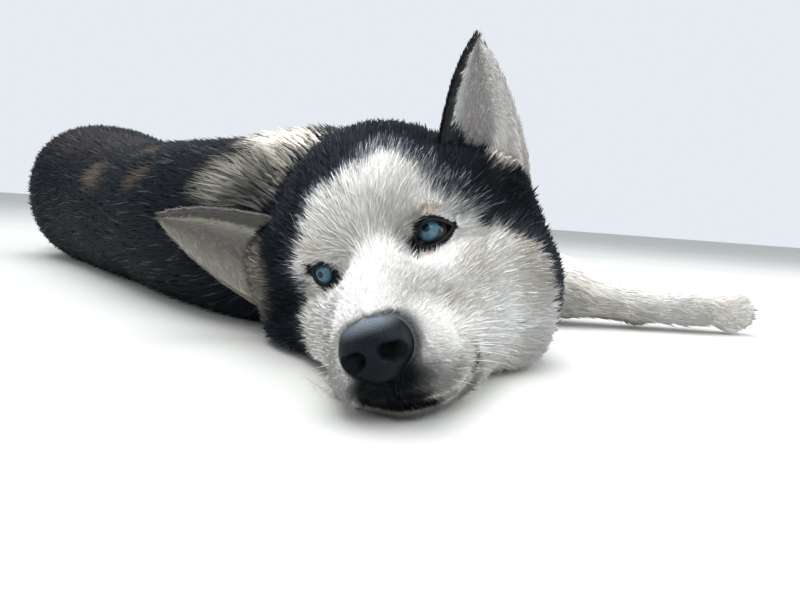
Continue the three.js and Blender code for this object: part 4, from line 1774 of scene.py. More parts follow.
def scattered(ground: Ground, wanted: Array, count: int, rng: np.random.Generator) -> tuple[Array, Array]:
    """Spreads places over the ground in proportion to its triangles' area.

    Args:
        ground: the skin.
        wanted: each triangle's weight, 0 where nothing grows.
        count: how many places.
        rng: the source of chance.

    Returns:
        The places, and the normals there.
    """
    points, tris = ground.points, ground.tris[wanted > 0]
    weight = wanted[wanted > 0]
    a, b, c = (points[tris[:, k]] for k in range(3))
    area = np.linalg.norm(np.cross(b - a, c - a), axis=1) / 2 * weight
    edge = np.cumsum(area)
    pick = np.searchsorted(edge, (np.arange(count) + rng.random(count)) / count * edge[-1])
    pick = np.minimum(pick, len(tris) - 1)
    r1, r2 = np.sqrt(rng.random(count)), rng.random(count)
    share = np.stack([1 - r1, r1 * (1 - r2), r1 * r2], 1)
    corners = tris[pick]
    place = (points[corners] * share[:, :, None]).sum(1)
    return place, unit((ground.normals[corners] * share[:, :, None]).sum(1))


def along_skin(way: Array, normal: Array) -> Array:
    """Directions laid along the skin."""
    return unit(way - normal * (way * normal).sum(1)[:, None])


def tangled(p: Array, size: float, seed: int) -> Array:
    """A smooth random vector for each point."""
    return np.stack([value_noise(p, size, seed + k) for k in range(3)], 1)


@dataclass(frozen=True)
class Barber:
    """Cuts tufts: gives roots their shape and makes the coat's meshes."""

    floor: float = 0.5
    fold: float = 0.42
    sunk: float = 1.2
    patch: float = 0.0015
    shading: tuple = (0.5, 0.72)
    shading_limit: float = 0.25

    def shaped(self, r: Roots, cut: Cut, rng: np.random.Generator, drape: bool = True) -> Array:
        """Bends tufts to the lie of the coat.

        Args:
            r: the tufts' roots.
            cut: how they are made.
            rng: the source of chance.
            drape: whether their ends are laid on the dog's outline.

        Returns:
            Each tuft's corners in the dog's frame: root, ring of three and tip of a lock, or base pair,
            ridge and tip of a blade.
        """
        side = np.cross(r.normal, r.way)
        sway = rng.normal(0, 1, (len(side), 1))
        out = 1 - 0.62 * rng.random(len(r.depth)) ** 1.1
        at = self.fold if cut is Cut.LOCK else 0.5
        rise = r.depth * 0.62 * out + r.lift
        middle = r.place + r.way * (r.length * at)[:, None] + r.normal * rise[:, None]
        tip = r.place + r.way * r.length[:, None] + r.normal * (r.depth * out + r.lift * 2)[:, None]
        middle = middle + side * (sway * r.length[:, None] * 0.035)
        tip = tip + side * (sway * r.length[:, None] * 0.10)
        if drape:
            for end, share in ((middle, 0.72), (tip, 1.0)):
                d = FORM.regions(end)
                lift = r.lift * (1.0 if share < 1 else 2.0)
                high = FORM.outline(d) + r.depth * (1 - out * share) - lift
                end -= r.normal * np.clip(high, -r.length * 0.35, r.length * 0.6)[:, None]
        root = r.place - r.normal * self.sunk
        half = (r.width / 2)[:, None]
        over = r.normal * (r.width * (0.24 if cut is Cut.LOCK else 0.16))[:, None]
        if cut is Cut.LOCK:
            corners = [root, middle + side * half, middle - side * half, middle + over, tip]
        else:
            corners = [root + side * half, root - side * half, middle + over, tip]
        corners = np.stack(corners, 1)
        low = self.floor + 0.8 * rng.random((len(root), 1))
        start = np.maximum(r.place[:, None, 2], low + 0.3)
        kept = np.clip((start - low) / np.maximum(start - corners[:, :, 2], 1e-3), 0.12, 1)[:, :, None]
        corners = r.place[:, None] + (corners - r.place[:, None]) * kept
        corners[:, :, 2] = np.maximum(corners[:, :, 2], low)
        return corners

    def mesh(self, piece: CoatPiece, r: Roots, finish: bpy.types.Material, rng: np.random.Generator,
             drape: bool = True) -> bpy.types.Object:
        """Makes one piece of coat with its colours, normals and bake map.

        Args:
            piece: the piece's plan.
            r: the tufts' roots.
            finish: its material.
            rng: the source of chance.
            drape: whether their ends are laid on the dog's outline.

        Returns:
            The linked object.
        """
        corners = self.shaped(r, piece.cut, rng, drape)
        pattern, place, share = piece.cut.plan()
        count, size = corners.shape[:2]
        flat = corners.reshape(-1, 3)
        face = (pattern[None] + np.arange(count)[:, None, None] * size).reshape(-1, 3)
        first, second, third = (flat[face[:, k]] for k in range(3))
        facing = np.cross(second - first, third - first)
        centre = np.repeat(corners.mean(1), len(pattern), axis=0)
        inward = (facing * (flat[face].mean(1) - centre)).sum(1) < 0
        face[inward] = face[inward][:, ::-1]
        facing[inward] *= -1
        made = new_piece(piece.name, flat, face, finish)
        me = made.data
        tint = r.tint[:, None] + (r.tip - r.tint)[:, None] * share[None, :, None]
        paint(me, "tint", tint.reshape(-1, 3))
        outward = np.repeat(r.normal, len(pattern), axis=0)
        facing = unit(facing)
        soft = unit(facing * self.shading[0] + outward * self.shading[1])
        use = ((soft * facing).sum(1) > self.shading_limit)[:, None]
        normal = np.where(use, soft, facing)
        paint(me, "custom_normal", np.repeat(normal, 3, axis=0), "FLOAT_VECTOR", "CORNER")
        patch = r.unwrap[:, None] + place[None] * self.patch
        layer = me.uv_layers.new(name="OFBake", do_init=False)
        layer.uv.foreach_set("vector", patch.reshape(-1, 2)[face.ravel()].astype(np.float32).ravel())
        return seat(made, piece.slot)


BARBER = Barber()


@dataclass(frozen=True)
class Coat:
    """The whole coat: hair lengths by place, and the pieces that it is made in."""

    density: float = 1.0
    neck_length: float = 46.0
    trunk_length: float = 40.0
    lock_width: float = 2.0

    def head_length(self, p: Array) -> Array:
        """Hair lengths on the head.

        Args:
            p: points in the dog's frame.

        Returns:
            One length for each point.
        """
        q = HEAD.inside(p)
        forward = (-120, -80, -45, -10, 25, 60, 95, 114)
        length = np.interp(q[:, 1], forward, (38, 30, 22, 14, 10, 8.5, 6, 4))
        for opening in OPENINGS:
            length = np.minimum(length, 2.4 + 0.5 * np.maximum(opening.outside(p), 0))
        length = np.minimum(length, 1.6 + 0.5 * np.maximum(FORM.nose(q), 0))
        return np.minimum(length, 1.0 + 0.75 * MOUTH.off(p)[0])

    def sizes(self, p: Array, d: dict[str, Array]) -> tuple[Array, Array]:
        """Hair lengths and tuft widths at each place.

        Args:
            p: points in the dog's frame.
            d: each region's distance at the points.

        Returns:
            One length and one width for each point.
        """
        long = {"head": self.head_length(p), "neck": self.neck_length, "trunk": self.trunk_length}
        wide = {
            "head": np.interp(long["head"], [4, 10, 20, 40], [0.36, 0.48, 0.76, 1.4]),
            "neck": self.lock_width,
            "trunk": self.lock_width,
        }
        for name, limb in LIMBS.items():
            radius = limb.along(p)[1]
            tail = name == "tail"
            long[name] = np.clip(radius * 1.5, 34, 64) if tail else np.clip(radius * 0.85, 9, 34)
            wide[name] = np.clip(radius * 0.065, 1.1, 2.4)
        return averaged(d, long), averaged(d, wide)

    def roots(self, piece: CoatPiece, ground: Ground, rng: np.random.Generator) -> Roots:
        """Scatters one piece's roots over the skin and gives them their lie, size and colours.

        Args:
            piece: the piece of coat.
            ground: the skin.
            rng: the source of chance.

        Returns:
            The roots, less those on the eyes, the nose, the lips and where the dog lies on its hair.
        """
        count = int(piece.tufts * self.density)
        place, normal = scattered(ground, piece.weight(ground), count, rng)
        d = FORM.regions(place)
        way = FORM.flow(place, d)
        rough = 1 - 0.55 * ramp(HEAD.inside(place)[:, 1], -70, -20)[:, None]
        way = way + rough * (0.22 * tangled(place, 26.0, 21) + 0.16 * tangled(place, 9.0, 31))
        way = along_skin(way, normal)
        speck = rng.random(count)
        length, width = self.sizes(place, d)
        length = length * (0.72 + 0.5 * rng.random(count))
        depth = FORM.depth(place, d)
        seen = place + way * (length * 0.6)[:, None]
        tint = MARKINGS.at(seen, FORM.regions(seen), speck)
        shade = 1 + rough[:, 0] * (0.11 * value_noise(place, 13.0, 41) + 0.2 * (rng.random(count) - 0.5))
        # Painted shade: the hair darkens towards the nose, standing in for the self-shadowing that the
        # muzzle's shorter tufts lack.
        short = np.interp(HEAD.inside(place)[:, 1], [0, 45, 85], [1.0, 0.84, 0.78])
        tint = tint * (shade * short)[:, None]
        dark_hair = tint.mean(1) < 0.16
        tip = np.where(dark_hair[:, None], tint * (0.75 + 0.5 * rng.random((count, 1))), tint * 1.06)
        frosted = dark_hair & (rng.random(count) < 0.05)
        tip = np.where(frosted[:, None], tint + 0.06, tip)
        root = tint * np.where(dark_hair, 0.9, 0.92)[:, None]
        ends = np.array(piece.axis, float)
        run = ends[1] - ends[0]
        axis = unit(run)
        off = place - ends[0]
        side = unit(np.cross(axis, np.array([0.0, 0.0, 1.0])))
        turn = np.arctan2(off @ np.cross(side, axis), off @ side) / (2 * math.pi) + 0.5
        reach = np.clip(off @ axis / np.linalg.norm(run), 0, 1)
        unwrap = np.stack([0.01 + 0.98 * reach, 0.01 + 0.98 * turn], 1)
        lift = np.clip(rng.normal(0, 0.6, count), -0.6, 2.5)
        found = Roots(place, normal, way, depth, length, width, root, np.clip(tip, 0, 0.95), unwrap, lift)
        open_skin = np.minimum(*(o.outside(place) for o in OPENINGS)) > 1.4
        off_nose = FORM.nose(HEAD.inside(place)) > 0.25
        pressed = (place[:, 2] < 10.0) & (normal[:, 2] < -0.5)
        lips = MOUTH.off(place)[0] > 1.3
        return found.some(open_skin & off_nose & ~pressed & lips)

    def pieces(self) -> list[CoatPiece]:
        """The pieces that grow on the skin, in the order of their seeds.

        Returns:
            One plan for each piece.
        """
        fore = (tuple(HEAD.outside((0, -135, -20))), tuple(HEAD.outside((0, 118, -38))))
        spine = ((310, 250, 84), (310, 1180, 84))
        made = []
        for name, low, high, counts, slot in (
            ("muzzle", 25, 200, (34000, 34000), "coat_white"),
            ("face", -34, 25, (36000, 36000), "coat_white"),
            ("crown", -130, -34, (27000, 25000), "coat_black"),
        ):
            for side, end, count in zip((1, -1), ("left", "right"), counts):
                made.append(CoatPiece(f"coat_{name}_{end}", count, Cut.BLADE, slot, fore, low, high, side))
        for name, count, low, high in (
            ("neck", 17000, 0, 500), ("chest", 19000, 500, 720), ("loin", 14000, 720, 900),
            ("rump", 20000, 900, 1300),
        ):
            made.append(CoatPiece(f"coat_{name}", count, Cut.LOCK, "coat_black", spine, low, high))
        for name, count, cut, slot, axis in (
            ("foreleg_left", 16000, Cut.BLADE, "coat_white", ((380, 470, 70), (760, 200, 26))),
            ("foreleg_right", 10000, Cut.BLADE, "coat_white", ((380, 520, 40), (760, 480, 26))),
            ("hindleg_left", 12000, Cut.BLADE, "coat_grey", ((380, 900, 80), (760, 1000, 26))),
            ("hindleg_right", 10000, Cut.BLADE, "coat_grey", ((380, 980, 40), (750, 1110, 26))),
            ("tail", 11000, Cut.LOCK, "coat_black", ((285, 1120, 70), (460, 1410, 24))),
        ):
            made.append(CoatPiece(f"coat_{name}", count, cut, slot, axis))
        return made


def owners(p: Array) -> Array:
    """The name of the region that each point is nearest to."""
    d = FORM.regions(p)
    return np.array(list(d))[np.argmin(np.stack(list(d.values())), axis=0)]


# The head's bare pieces


def ring_faces(rows: int, columns: int, closed: bool = False) -> list:
    """Faces between rings of points; a cap closes each end, or the last ring joins the first.

    Args:
        rows: how many rings.
        columns: how many points in each.
        closed: whether the last ring joins the first.

    Returns:
        The faces' vertex indices.
    """
    faces = []
    for row in range(rows if closed else rows - 1):
        low, high = row * columns, (row + 1) % rows * columns
        for c in range(columns):
            beside = (c + 1) % columns
            faces.append([low + c, low + beside, high + beside, high + c])
    if not closed:
        faces += [list(range(columns))[::-1], [(rows - 1) * columns + c for c in range(columns)]]
    return faces


def sphere_ways(rows: int, columns: int) -> tuple[Array, list]:
    """Directions over a sphere round z, and the faces between them.

    Args:
        rows: how many rings, counting both poles.
        columns: how many points in each.

    Returns:
        The directions and the faces' vertex indices.
    """
    tilt = np.linspace(0, math.pi, rows)[1:-1]
    turn = np.linspace(0, 2 * math.pi, columns, endpoint=False)
    tt, pp = (g.ravel() for g in np.meshgrid(tilt, turn, indexing="ij"))
    ways = np.stack([np.sin(tt) * np.cos(pp), np.sin(tt) * np.sin(pp), np.cos(tt)], 1)
    ways = np.concatenate([ways, [[0, 0, 1], [0, 0, -1]]])
    n, last = len(ways), (rows - 3) * columns
    faces = [[a, d, c, b] for a, b, c, d in ring_faces(rows - 2, columns)[:-2]]
    faces += [[n - 2, c, (c + 1) % columns] for c in range(columns)]
    faces += [[n - 1, last + (c + 1) % columns, last + c] for c in range(columns)]
    return ways, faces


def basis(way: Array | tuple) -> Array:
    """Rows of a turned frame whose third axis is way.

    Args:
        way: the third axis.

    Returns:
        Three rows of length one.
    """
    way = unit(np.asarray(way, float))
    first = unit(np.cross(np.array([0.0, 0.0, 1.0]), way))
    return np.array([first, np.cross(way, first), way])


@dataclass(frozen=True)
class Eyes:
    """Both eyes, their wet lids' rims and the dark flesh in the inner corners."""

    bulge: float = 0.75
    gaze: tuple = ((-0.36, 0.93, 0.10), (-0.13, 0.95, 0.35))
    iris_scale: tuple = (1.15, 1.0)

    def ball(self, side: int, finish: bpy.types.Material) -> None:
        """One eyeball, with each point's distance from the eye's axis for the iris.

        Args:
            side: 1 for the left eye, -1 for the right.
            finish: its material.
        """
        ways, faces = sphere_ways(64, 72)
        rows = basis(HEAD.turned(self.gaze[side > 0]))
        off_axis = np.arccos(np.clip(ways[:, 2], -1, 1))
        radius = FORM.eye_radius + self.bulge * np.exp(-((off_axis / 0.62) ** 4))
        centre = HEAD.outside(FORM.eye(side))
        name = "eye_left" if side > 0 else "eye_right"
        made = new_piece(f"{name}_ball", centre + (ways * radius[:, None]) @ rows, faces, finish)
        off = np.sin(np.minimum(off_axis, math.pi / 2)) * FORM.eye_radius * self.iris_scale[side > 0]
        paint(made.data, "off", off, "FLOAT")
        turn = np.arctan2(ways[:, 1], ways[:, 0])
        paint(made.data, "turn", np.stack([np.cos(turn), np.sin(turn), off / 8], 1), "FLOAT_VECTOR")
        seat(made, "eye", name)

    def rim(self, opening: EyeOpening, finish: bpy.types.Material) -> None:
        """The wet black edge of one eye's lids.

        Args:
            opening: the eye's opening.
            finish: its material.
        """
        count, sides = 72, 8
        path = opening.edge(count)
        for _ in range(3):
            path = (np.roll(path, 1, 0) + path * 2 + np.roll(path, -1, 0)) / 4
        along = unit(np.roll(path, -1, 0) - np.roll(path, 1, 0))
        out = unit(path - HEAD.outside(FORM.eye(opening.side)))
        across = np.cross(along, out)
        turn = np.arange(sides) / sides * 2 * math.pi
        corner = ridge(np.linalg.norm(path - path[0], axis=1), 0.0, 6.0)
        wide = opening.rim * (1 + 0.55 * corner)
        points = (path[:, None] + np.cos(turn)[None, :, None] * across[:, None] * wide[:, None, None]
                  + np.sin(turn)[None, :, None] * out[:, None] * (wide * 0.75)[:, None, None])
        side = "left" if opening.side > 0 else "right"
        faces = ring_faces(count, sides, closed=True)
        seat(outward(new_piece(f"lid_rim_{side}", points.reshape(-1, 3), faces, finish)), "nose_skin")
        middle, rows, half = opening.frame()
        ways, faces = sphere_ways(14, 18)
        flesh = ways * np.array([4.6, 2.6, 2.2]) + np.array([-half + 3.6, -0.4, -4.6])
        points = HEAD.outside(flesh @ rows + middle)
        seat(outward(new_piece(f"inner_corner_{side}", points, faces, finish)), "nose_skin")

    def make(self) -> None:
        """Makes both eyes."""
        wet = EyeFinish().make()
        rim = LeatherFinish(
            "lid_leather", dark=(0.004, 0.004, 0.005), pale=(0.008, 0.007, 0.008),
            roughness=0.5, pebble=900.0, depth=0.0001, gloss=0.05).make()
        for side in (1, -1):
            self.ball(side, wet)
        for opening in OPENINGS:
            self.rim(opening, rim)


@dataclass(frozen=True)
class Nose:
    """The nose's bare pad, in the head's frame, with comma-shaped nostrils and a cleft."""

    centre: tuple = (0.0, 97.0, -32.0)

    def field(self, q: Array) -> Array:
        """The distance to the pad.

        Args:
            q: points of the head's frame.

        Returns:
            One distance for each point.
        """
        m = mirrored(q, -1.0)
        d = carve(FORM.nose(q), bone(m, (7.2, 120, -33.0), (7.4, 107, -34.0), (5.0, 3.4)), 2.4)
        d = carve(d, bone(m, (9.6, 115.5, -36.0), (14.0, 111.0, -37.5), (1.7, 1.1)), 1.8)
        return carve(d, bone(q, (0, 117, -38), (0, 113, -52), (0.7, 0.9)), 1.6)

    def make(self) -> None:
        """Makes the pad."""
        ways, faces = sphere_ways(100, 128)
        ways = ways @ basis((0.0, 1.0, 0.0))
        centre = np.array(self.centre)
        inner, outer = np.zeros(len(ways)), np.full(len(ways), np.nan)
        for reach in np.arange(1.0, 30.0, 0.7):
            hit = (self.field(centre + ways * reach) > 0) & np.isnan(outer)
            outer[hit] = reach
            inner[np.isnan(outer)] = reach
        outer = np.where(np.isnan(outer), 30.0, outer)
        for _ in range(14):
            middle = (inner + outer) / 2
            within = self.field(centre + ways * middle[:, None]) < 0
            inner, outer = np.where(within, middle, inner), np.where(within, outer, middle)
        leather = LeatherFinish(
            "nose_leather", dark=(0.003, 0.004, 0.006), pale=(0.007, 0.010, 0.015), roughness=0.4,
            pebble=700.0, depth=0.0003, gloss=0.04, shine=0.07, painted_sheen=(0.17, 0.20, 0.235)).make()
        points = centre + ways * inner[:, None]
        made = new_piece("nose_pad", HEAD.outside(points), faces, leather)
        # The 'high' attribute rises towards the top of the pad, where the painted sheen shows.
        paint(made.data, "high", ramp(points[:, 2], -25.0, -15.5), "FLOAT")
        seat(outward(made), "nose_skin", "nose")


@dataclass(frozen=True)
class Whiskers:
    """Long stiff hairs from the muzzle, brows and cheeks, made by one node tree."""

    length: float = 0.052
    thickness: float = 0.0034
    bend: float = 0.22
    rows: int = 4
    floor: float = 0.0008

    def roots(self) -> tuple[Array, Array, Array]:
        """Places on the skin, directions and lengths, as shares of the longest.

        Returns:
            One place, direction and share for each whisker.
        """
        rng = np.random.default_rng(5)
        places, ways, sizes = [], [], []
        for side in (1, -1):
            for row in range(self.rows):
                for k in range(5):
                    q = np.array([side * 60.0, 88 - k * 7.5 - row * 1.5, -46 - row * 5.4 + k * 0.6])
                    places.append(q + rng.normal(0, 0.8, 3))
                    ways.append([side * (1.0 + 0.1 * k), -0.35 - 0.16 * k, -0.12 - 0.17 * row])
                    sizes.append(0.36 + 0.09 * k + 0.2 * rng.random())
            for k in range(3):
                places.append(np.array([side * (30 + k * 4.5), 70.0, 17 + rng.normal(0, 1.2)]))
                ways.append([side * 0.25, 0.25, 0.95])
                sizes.append(0.42 + 0.2 * rng.random())
        q, way = np.array(places), unit(np.array(ways) + rng.normal(0, 0.07, (len(ways), 3)))
        sideways = np.stack([-np.sign(q[:, 0]), 0 * q[:, 0], 0 * q[:, 0]], 1)
        aim = np.where(q[:, 2:] > 0, np.array([0.0, -1.0, 0.0]), sideways)
        p, step = HEAD.outside(q), HEAD.turned(aim)
        for _ in range(40):
            p = p + step * np.clip(FORM.skin(p) * 0.8, -2, 12)[:, None]
        return p, HEAD.turned(way), np.array(sizes)

    def tree(self, finish: bpy.types.Material) -> bpy.types.NodeTree:
        """A tree that grows one tapered, bent hair at each point, along its way.

        Args:
            finish: the whiskers' material.

        Returns:
            The node tree.
        """
        tree = bpy.data.node_groups.new("grow_whiskers", "GeometryNodeTree")
        for name, kind in (("Geometry", "NodeSocketGeometry"), ("Length", "NodeSocketFloat"),
                           ("Thickness", "NodeSocketFloat"), ("Bend", "NodeSocketFloat")):
            tree.interface.new_socket(name, in_out="INPUT", socket_type=kind)
        tree.interface.new_socket("Geometry", in_out="OUTPUT", socket_type="NodeSocketGeometry")

        def add(kind: str, values: dict | None = None, **settings: str) -> bpy.types.Node:
            """Adds one node; a value may be another node's output."""
            node = tree.nodes.new(kind)
            for name, value in settings.items():
                setattr(node, name, value)
            for name, value in (values or {}).items():
                if isinstance(value, bpy.types.NodeSocket):
                    tree.links.new(value, node.inputs[name])
                else:
                    node.inputs[name].default_value = value
            return node

        def maths(operation: str, *values: float | bpy.types.NodeSocket) -> bpy.types.NodeSocket:
            """One Math node."""
            return add("ShaderNodeMath", dict(enumerate(values)), operation=operation).outputs[0]

        given = add("NodeGroupInput").outputs
        bent = add("ShaderNodeCombineXYZ", {"X": given["Bend"], "Z": 1.0}).outputs[0]
        line = add("GeometryNodeCurveQuadraticBezier", {
            "Resolution": 9, "Start": (0, 0, 0), "Middle": (0, 0, 0.55), "End": bent})
        along = add("GeometryNodeSplineParameter").outputs["Factor"]
        left = maths("SUBTRACT", 1.02, along)
        radius = maths("MULTIPLY", maths("POWER", left, 0.7), given["Thickness"])
        sized = add("GeometryNodeSetCurveRadius", {"Curve": line.outputs[0], "Radius": radius})
        ring = add("GeometryNodeCurvePrimitiveCircle", {"Resolution": 4, "Radius": 1.0})
        hair = add("GeometryNodeCurveToMesh", {
            "Curve": sized.outputs[0], "Profile Curve": ring.outputs[0], "Fill Caps": True})
        if "Scale" in hair.inputs:
            tree.links.new(radius, hair.inputs["Scale"])
        way = add("GeometryNodeInputNamedAttribute", {"Name": "way"}, data_type="FLOAT_VECTOR").outputs[0]
        size = add("GeometryNodeInputNamedAttribute", {"Name": "size"}, data_type="FLOAT").outputs[0]
        turned = add("FunctionNodeAlignRotationToVector", {"Vector": way}, axis="Z")
        scale = maths("MULTIPLY", size, given["Length"])
        grown = add("GeometryNodeInstanceOnPoints", {
            "Points": given["Geometry"], "Instance": hair.outputs[0],
            "Rotation": turned.outputs[0], "Scale": scale})
        real = add("GeometryNodeRealizeInstances", {"Geometry": grown.outputs[0]})
        dressed = add("GeometryNodeSetMaterial", {"Geometry": real.outputs[0], "Material": finish})
        add("NodeGroupOutput", {"Geometry": dressed.outputs[0]})
        return tree

    def make(self) -> None:
        """Grows the whiskers and turns them into a plain mesh."""
        p, way, size = self.roots()
        finish = HairFinish("whisker", (0.55, 0.53, 0.50), (0.85, 0.84, 0.82)).make()
        made = new_piece("whisker_roots", p, [], finish)
        paint(made.data, "way", way, "FLOAT_VECTOR")
        paint(made.data, "size", size, "FLOAT")
        tree = self.tree(finish)
        grow = made.modifiers.new("grow", "NODES")
        grow.node_group = tree
        wanted = {"Length": self.length, "Thickness": self.thickness, "Bend": self.bend}
        for item in tree.interface.items_tree:
            if item.in_out == "INPUT" and item.name in wanted:
                grow[item.identifier] = wanted[item.name]
        bpy.context.view_layer.update()
        mesh = bpy.data.meshes.new_from_object(made.evaluated_get(bpy.context.evaluated_depsgraph_get()))
        bpy.data.objects.remove(made)
        piece = linked("whiskers", mesh)
        for vertex in mesh.vertices:
            vertex.co.z = max(vertex.co.z, self.floor)
        seat(outward(piece), "coat_white")


# Feet


@dataclass(frozen=True)
class Feet:
    """Claws and pads of the four paws."""

    radius: float = 3.4
    curve: float = 2.6
    floor: float = 0.8

    def sole(self, limb: Limb) -> Array:
        """The way that a paw's sole faces: towards the tail, as the legs lie on their side."""
        point = unit(np.array(limb.point))
        return unit(np.array([-point[1], point[0], 0.0]))

    def claw(self, limb: Limb, toe: Array) -> tuple[Array, list]:
        """One curved claw.

        Args:
            limb: the leg.
            toe: the middle of the toe's end.

        Returns:
            The points and the faces' vertex indices.
        """
        point, sole = unit(np.array(limb.point)), self.sole(limb)
        side = np.cross(point, sole)
        rings = 12
        t = np.linspace(0, 1, rings)
        start = toe + point * limb.toe_radius * 0.4
        middle = start + np.outer(t * limb.claw_length, point) + np.outer(t**2 * self.curve, sole)
        radius = self.radius * (1 - t) ** 0.75 + 0.12
        turn = np.arange(12) / 12 * 2 * math.pi
        points = (middle[:, None] + (radius[:, None] * np.cos(turn))[:, :, None] * side * 0.72
                  + (radius[:, None] * np.sin(turn))[:, :, None] * sole)
        return points.reshape(-1, 3), ring_faces(rings, 12)

    def pads(self, limb: Limb) -> tuple[Array, list]:
        """The four toe pads and the large pad behind them.

        Args:
            limb: the leg.

        Returns:
            The points and the faces' vertex indices.
        """
        point, sole = unit(np.array(limb.point)), self.sole(limb)
        side = np.cross(point, sole)
        ways, faces = sphere_ways(14, 18)
        points, all_faces = [], []
        root = np.array(limb.chain[-1][:3], float)
        spots = [(toe - point * 3 + sole * 5.2, (9.0, 4.6, 6.2)) for toe in limb.toes()]
        spots.append((root + point * 14 + sole * 9.0, (13.0, 6.0, 15.0)))
        for centre, radii in spots:
            start = len(points) * len(ways)
            points.append(centre + (ways * np.array(radii)) @ np.array([point, sole, side]))
            all_faces += [[i + start for i in f] for f in faces]
        return np.concatenate(points), all_faces

    def make(self) -> None:
        """Makes every claw and pad."""
        horn = HornFinish().make()
        pad = LeatherFinish(
            "pad_leather", dark=(0.022, 0.019, 0.02), pale=(0.06, 0.05, 0.05),
            roughness=0.6, pebble=420.0, depth=0.0008, gloss=0.0).make()
        for name, limb in LIMBS.items():
            if not limb.point:
                continue
            for k, toe in enumerate(limb.toes(), 1):
                points, faces = self.claw(limb, toe)
                made = new_piece(f"horn_{name}_{k}", points, faces, horn)
                seat(outward(made), "claw", f"claw_{name}_{k}")
            points, faces = self.pads(limb)
            points[:, 2] = np.maximum(points[:, 2], self.floor)
            seat(outward(new_piece(f"pads_{name}", points, faces, pad)), "nose_skin")


# The whole dog


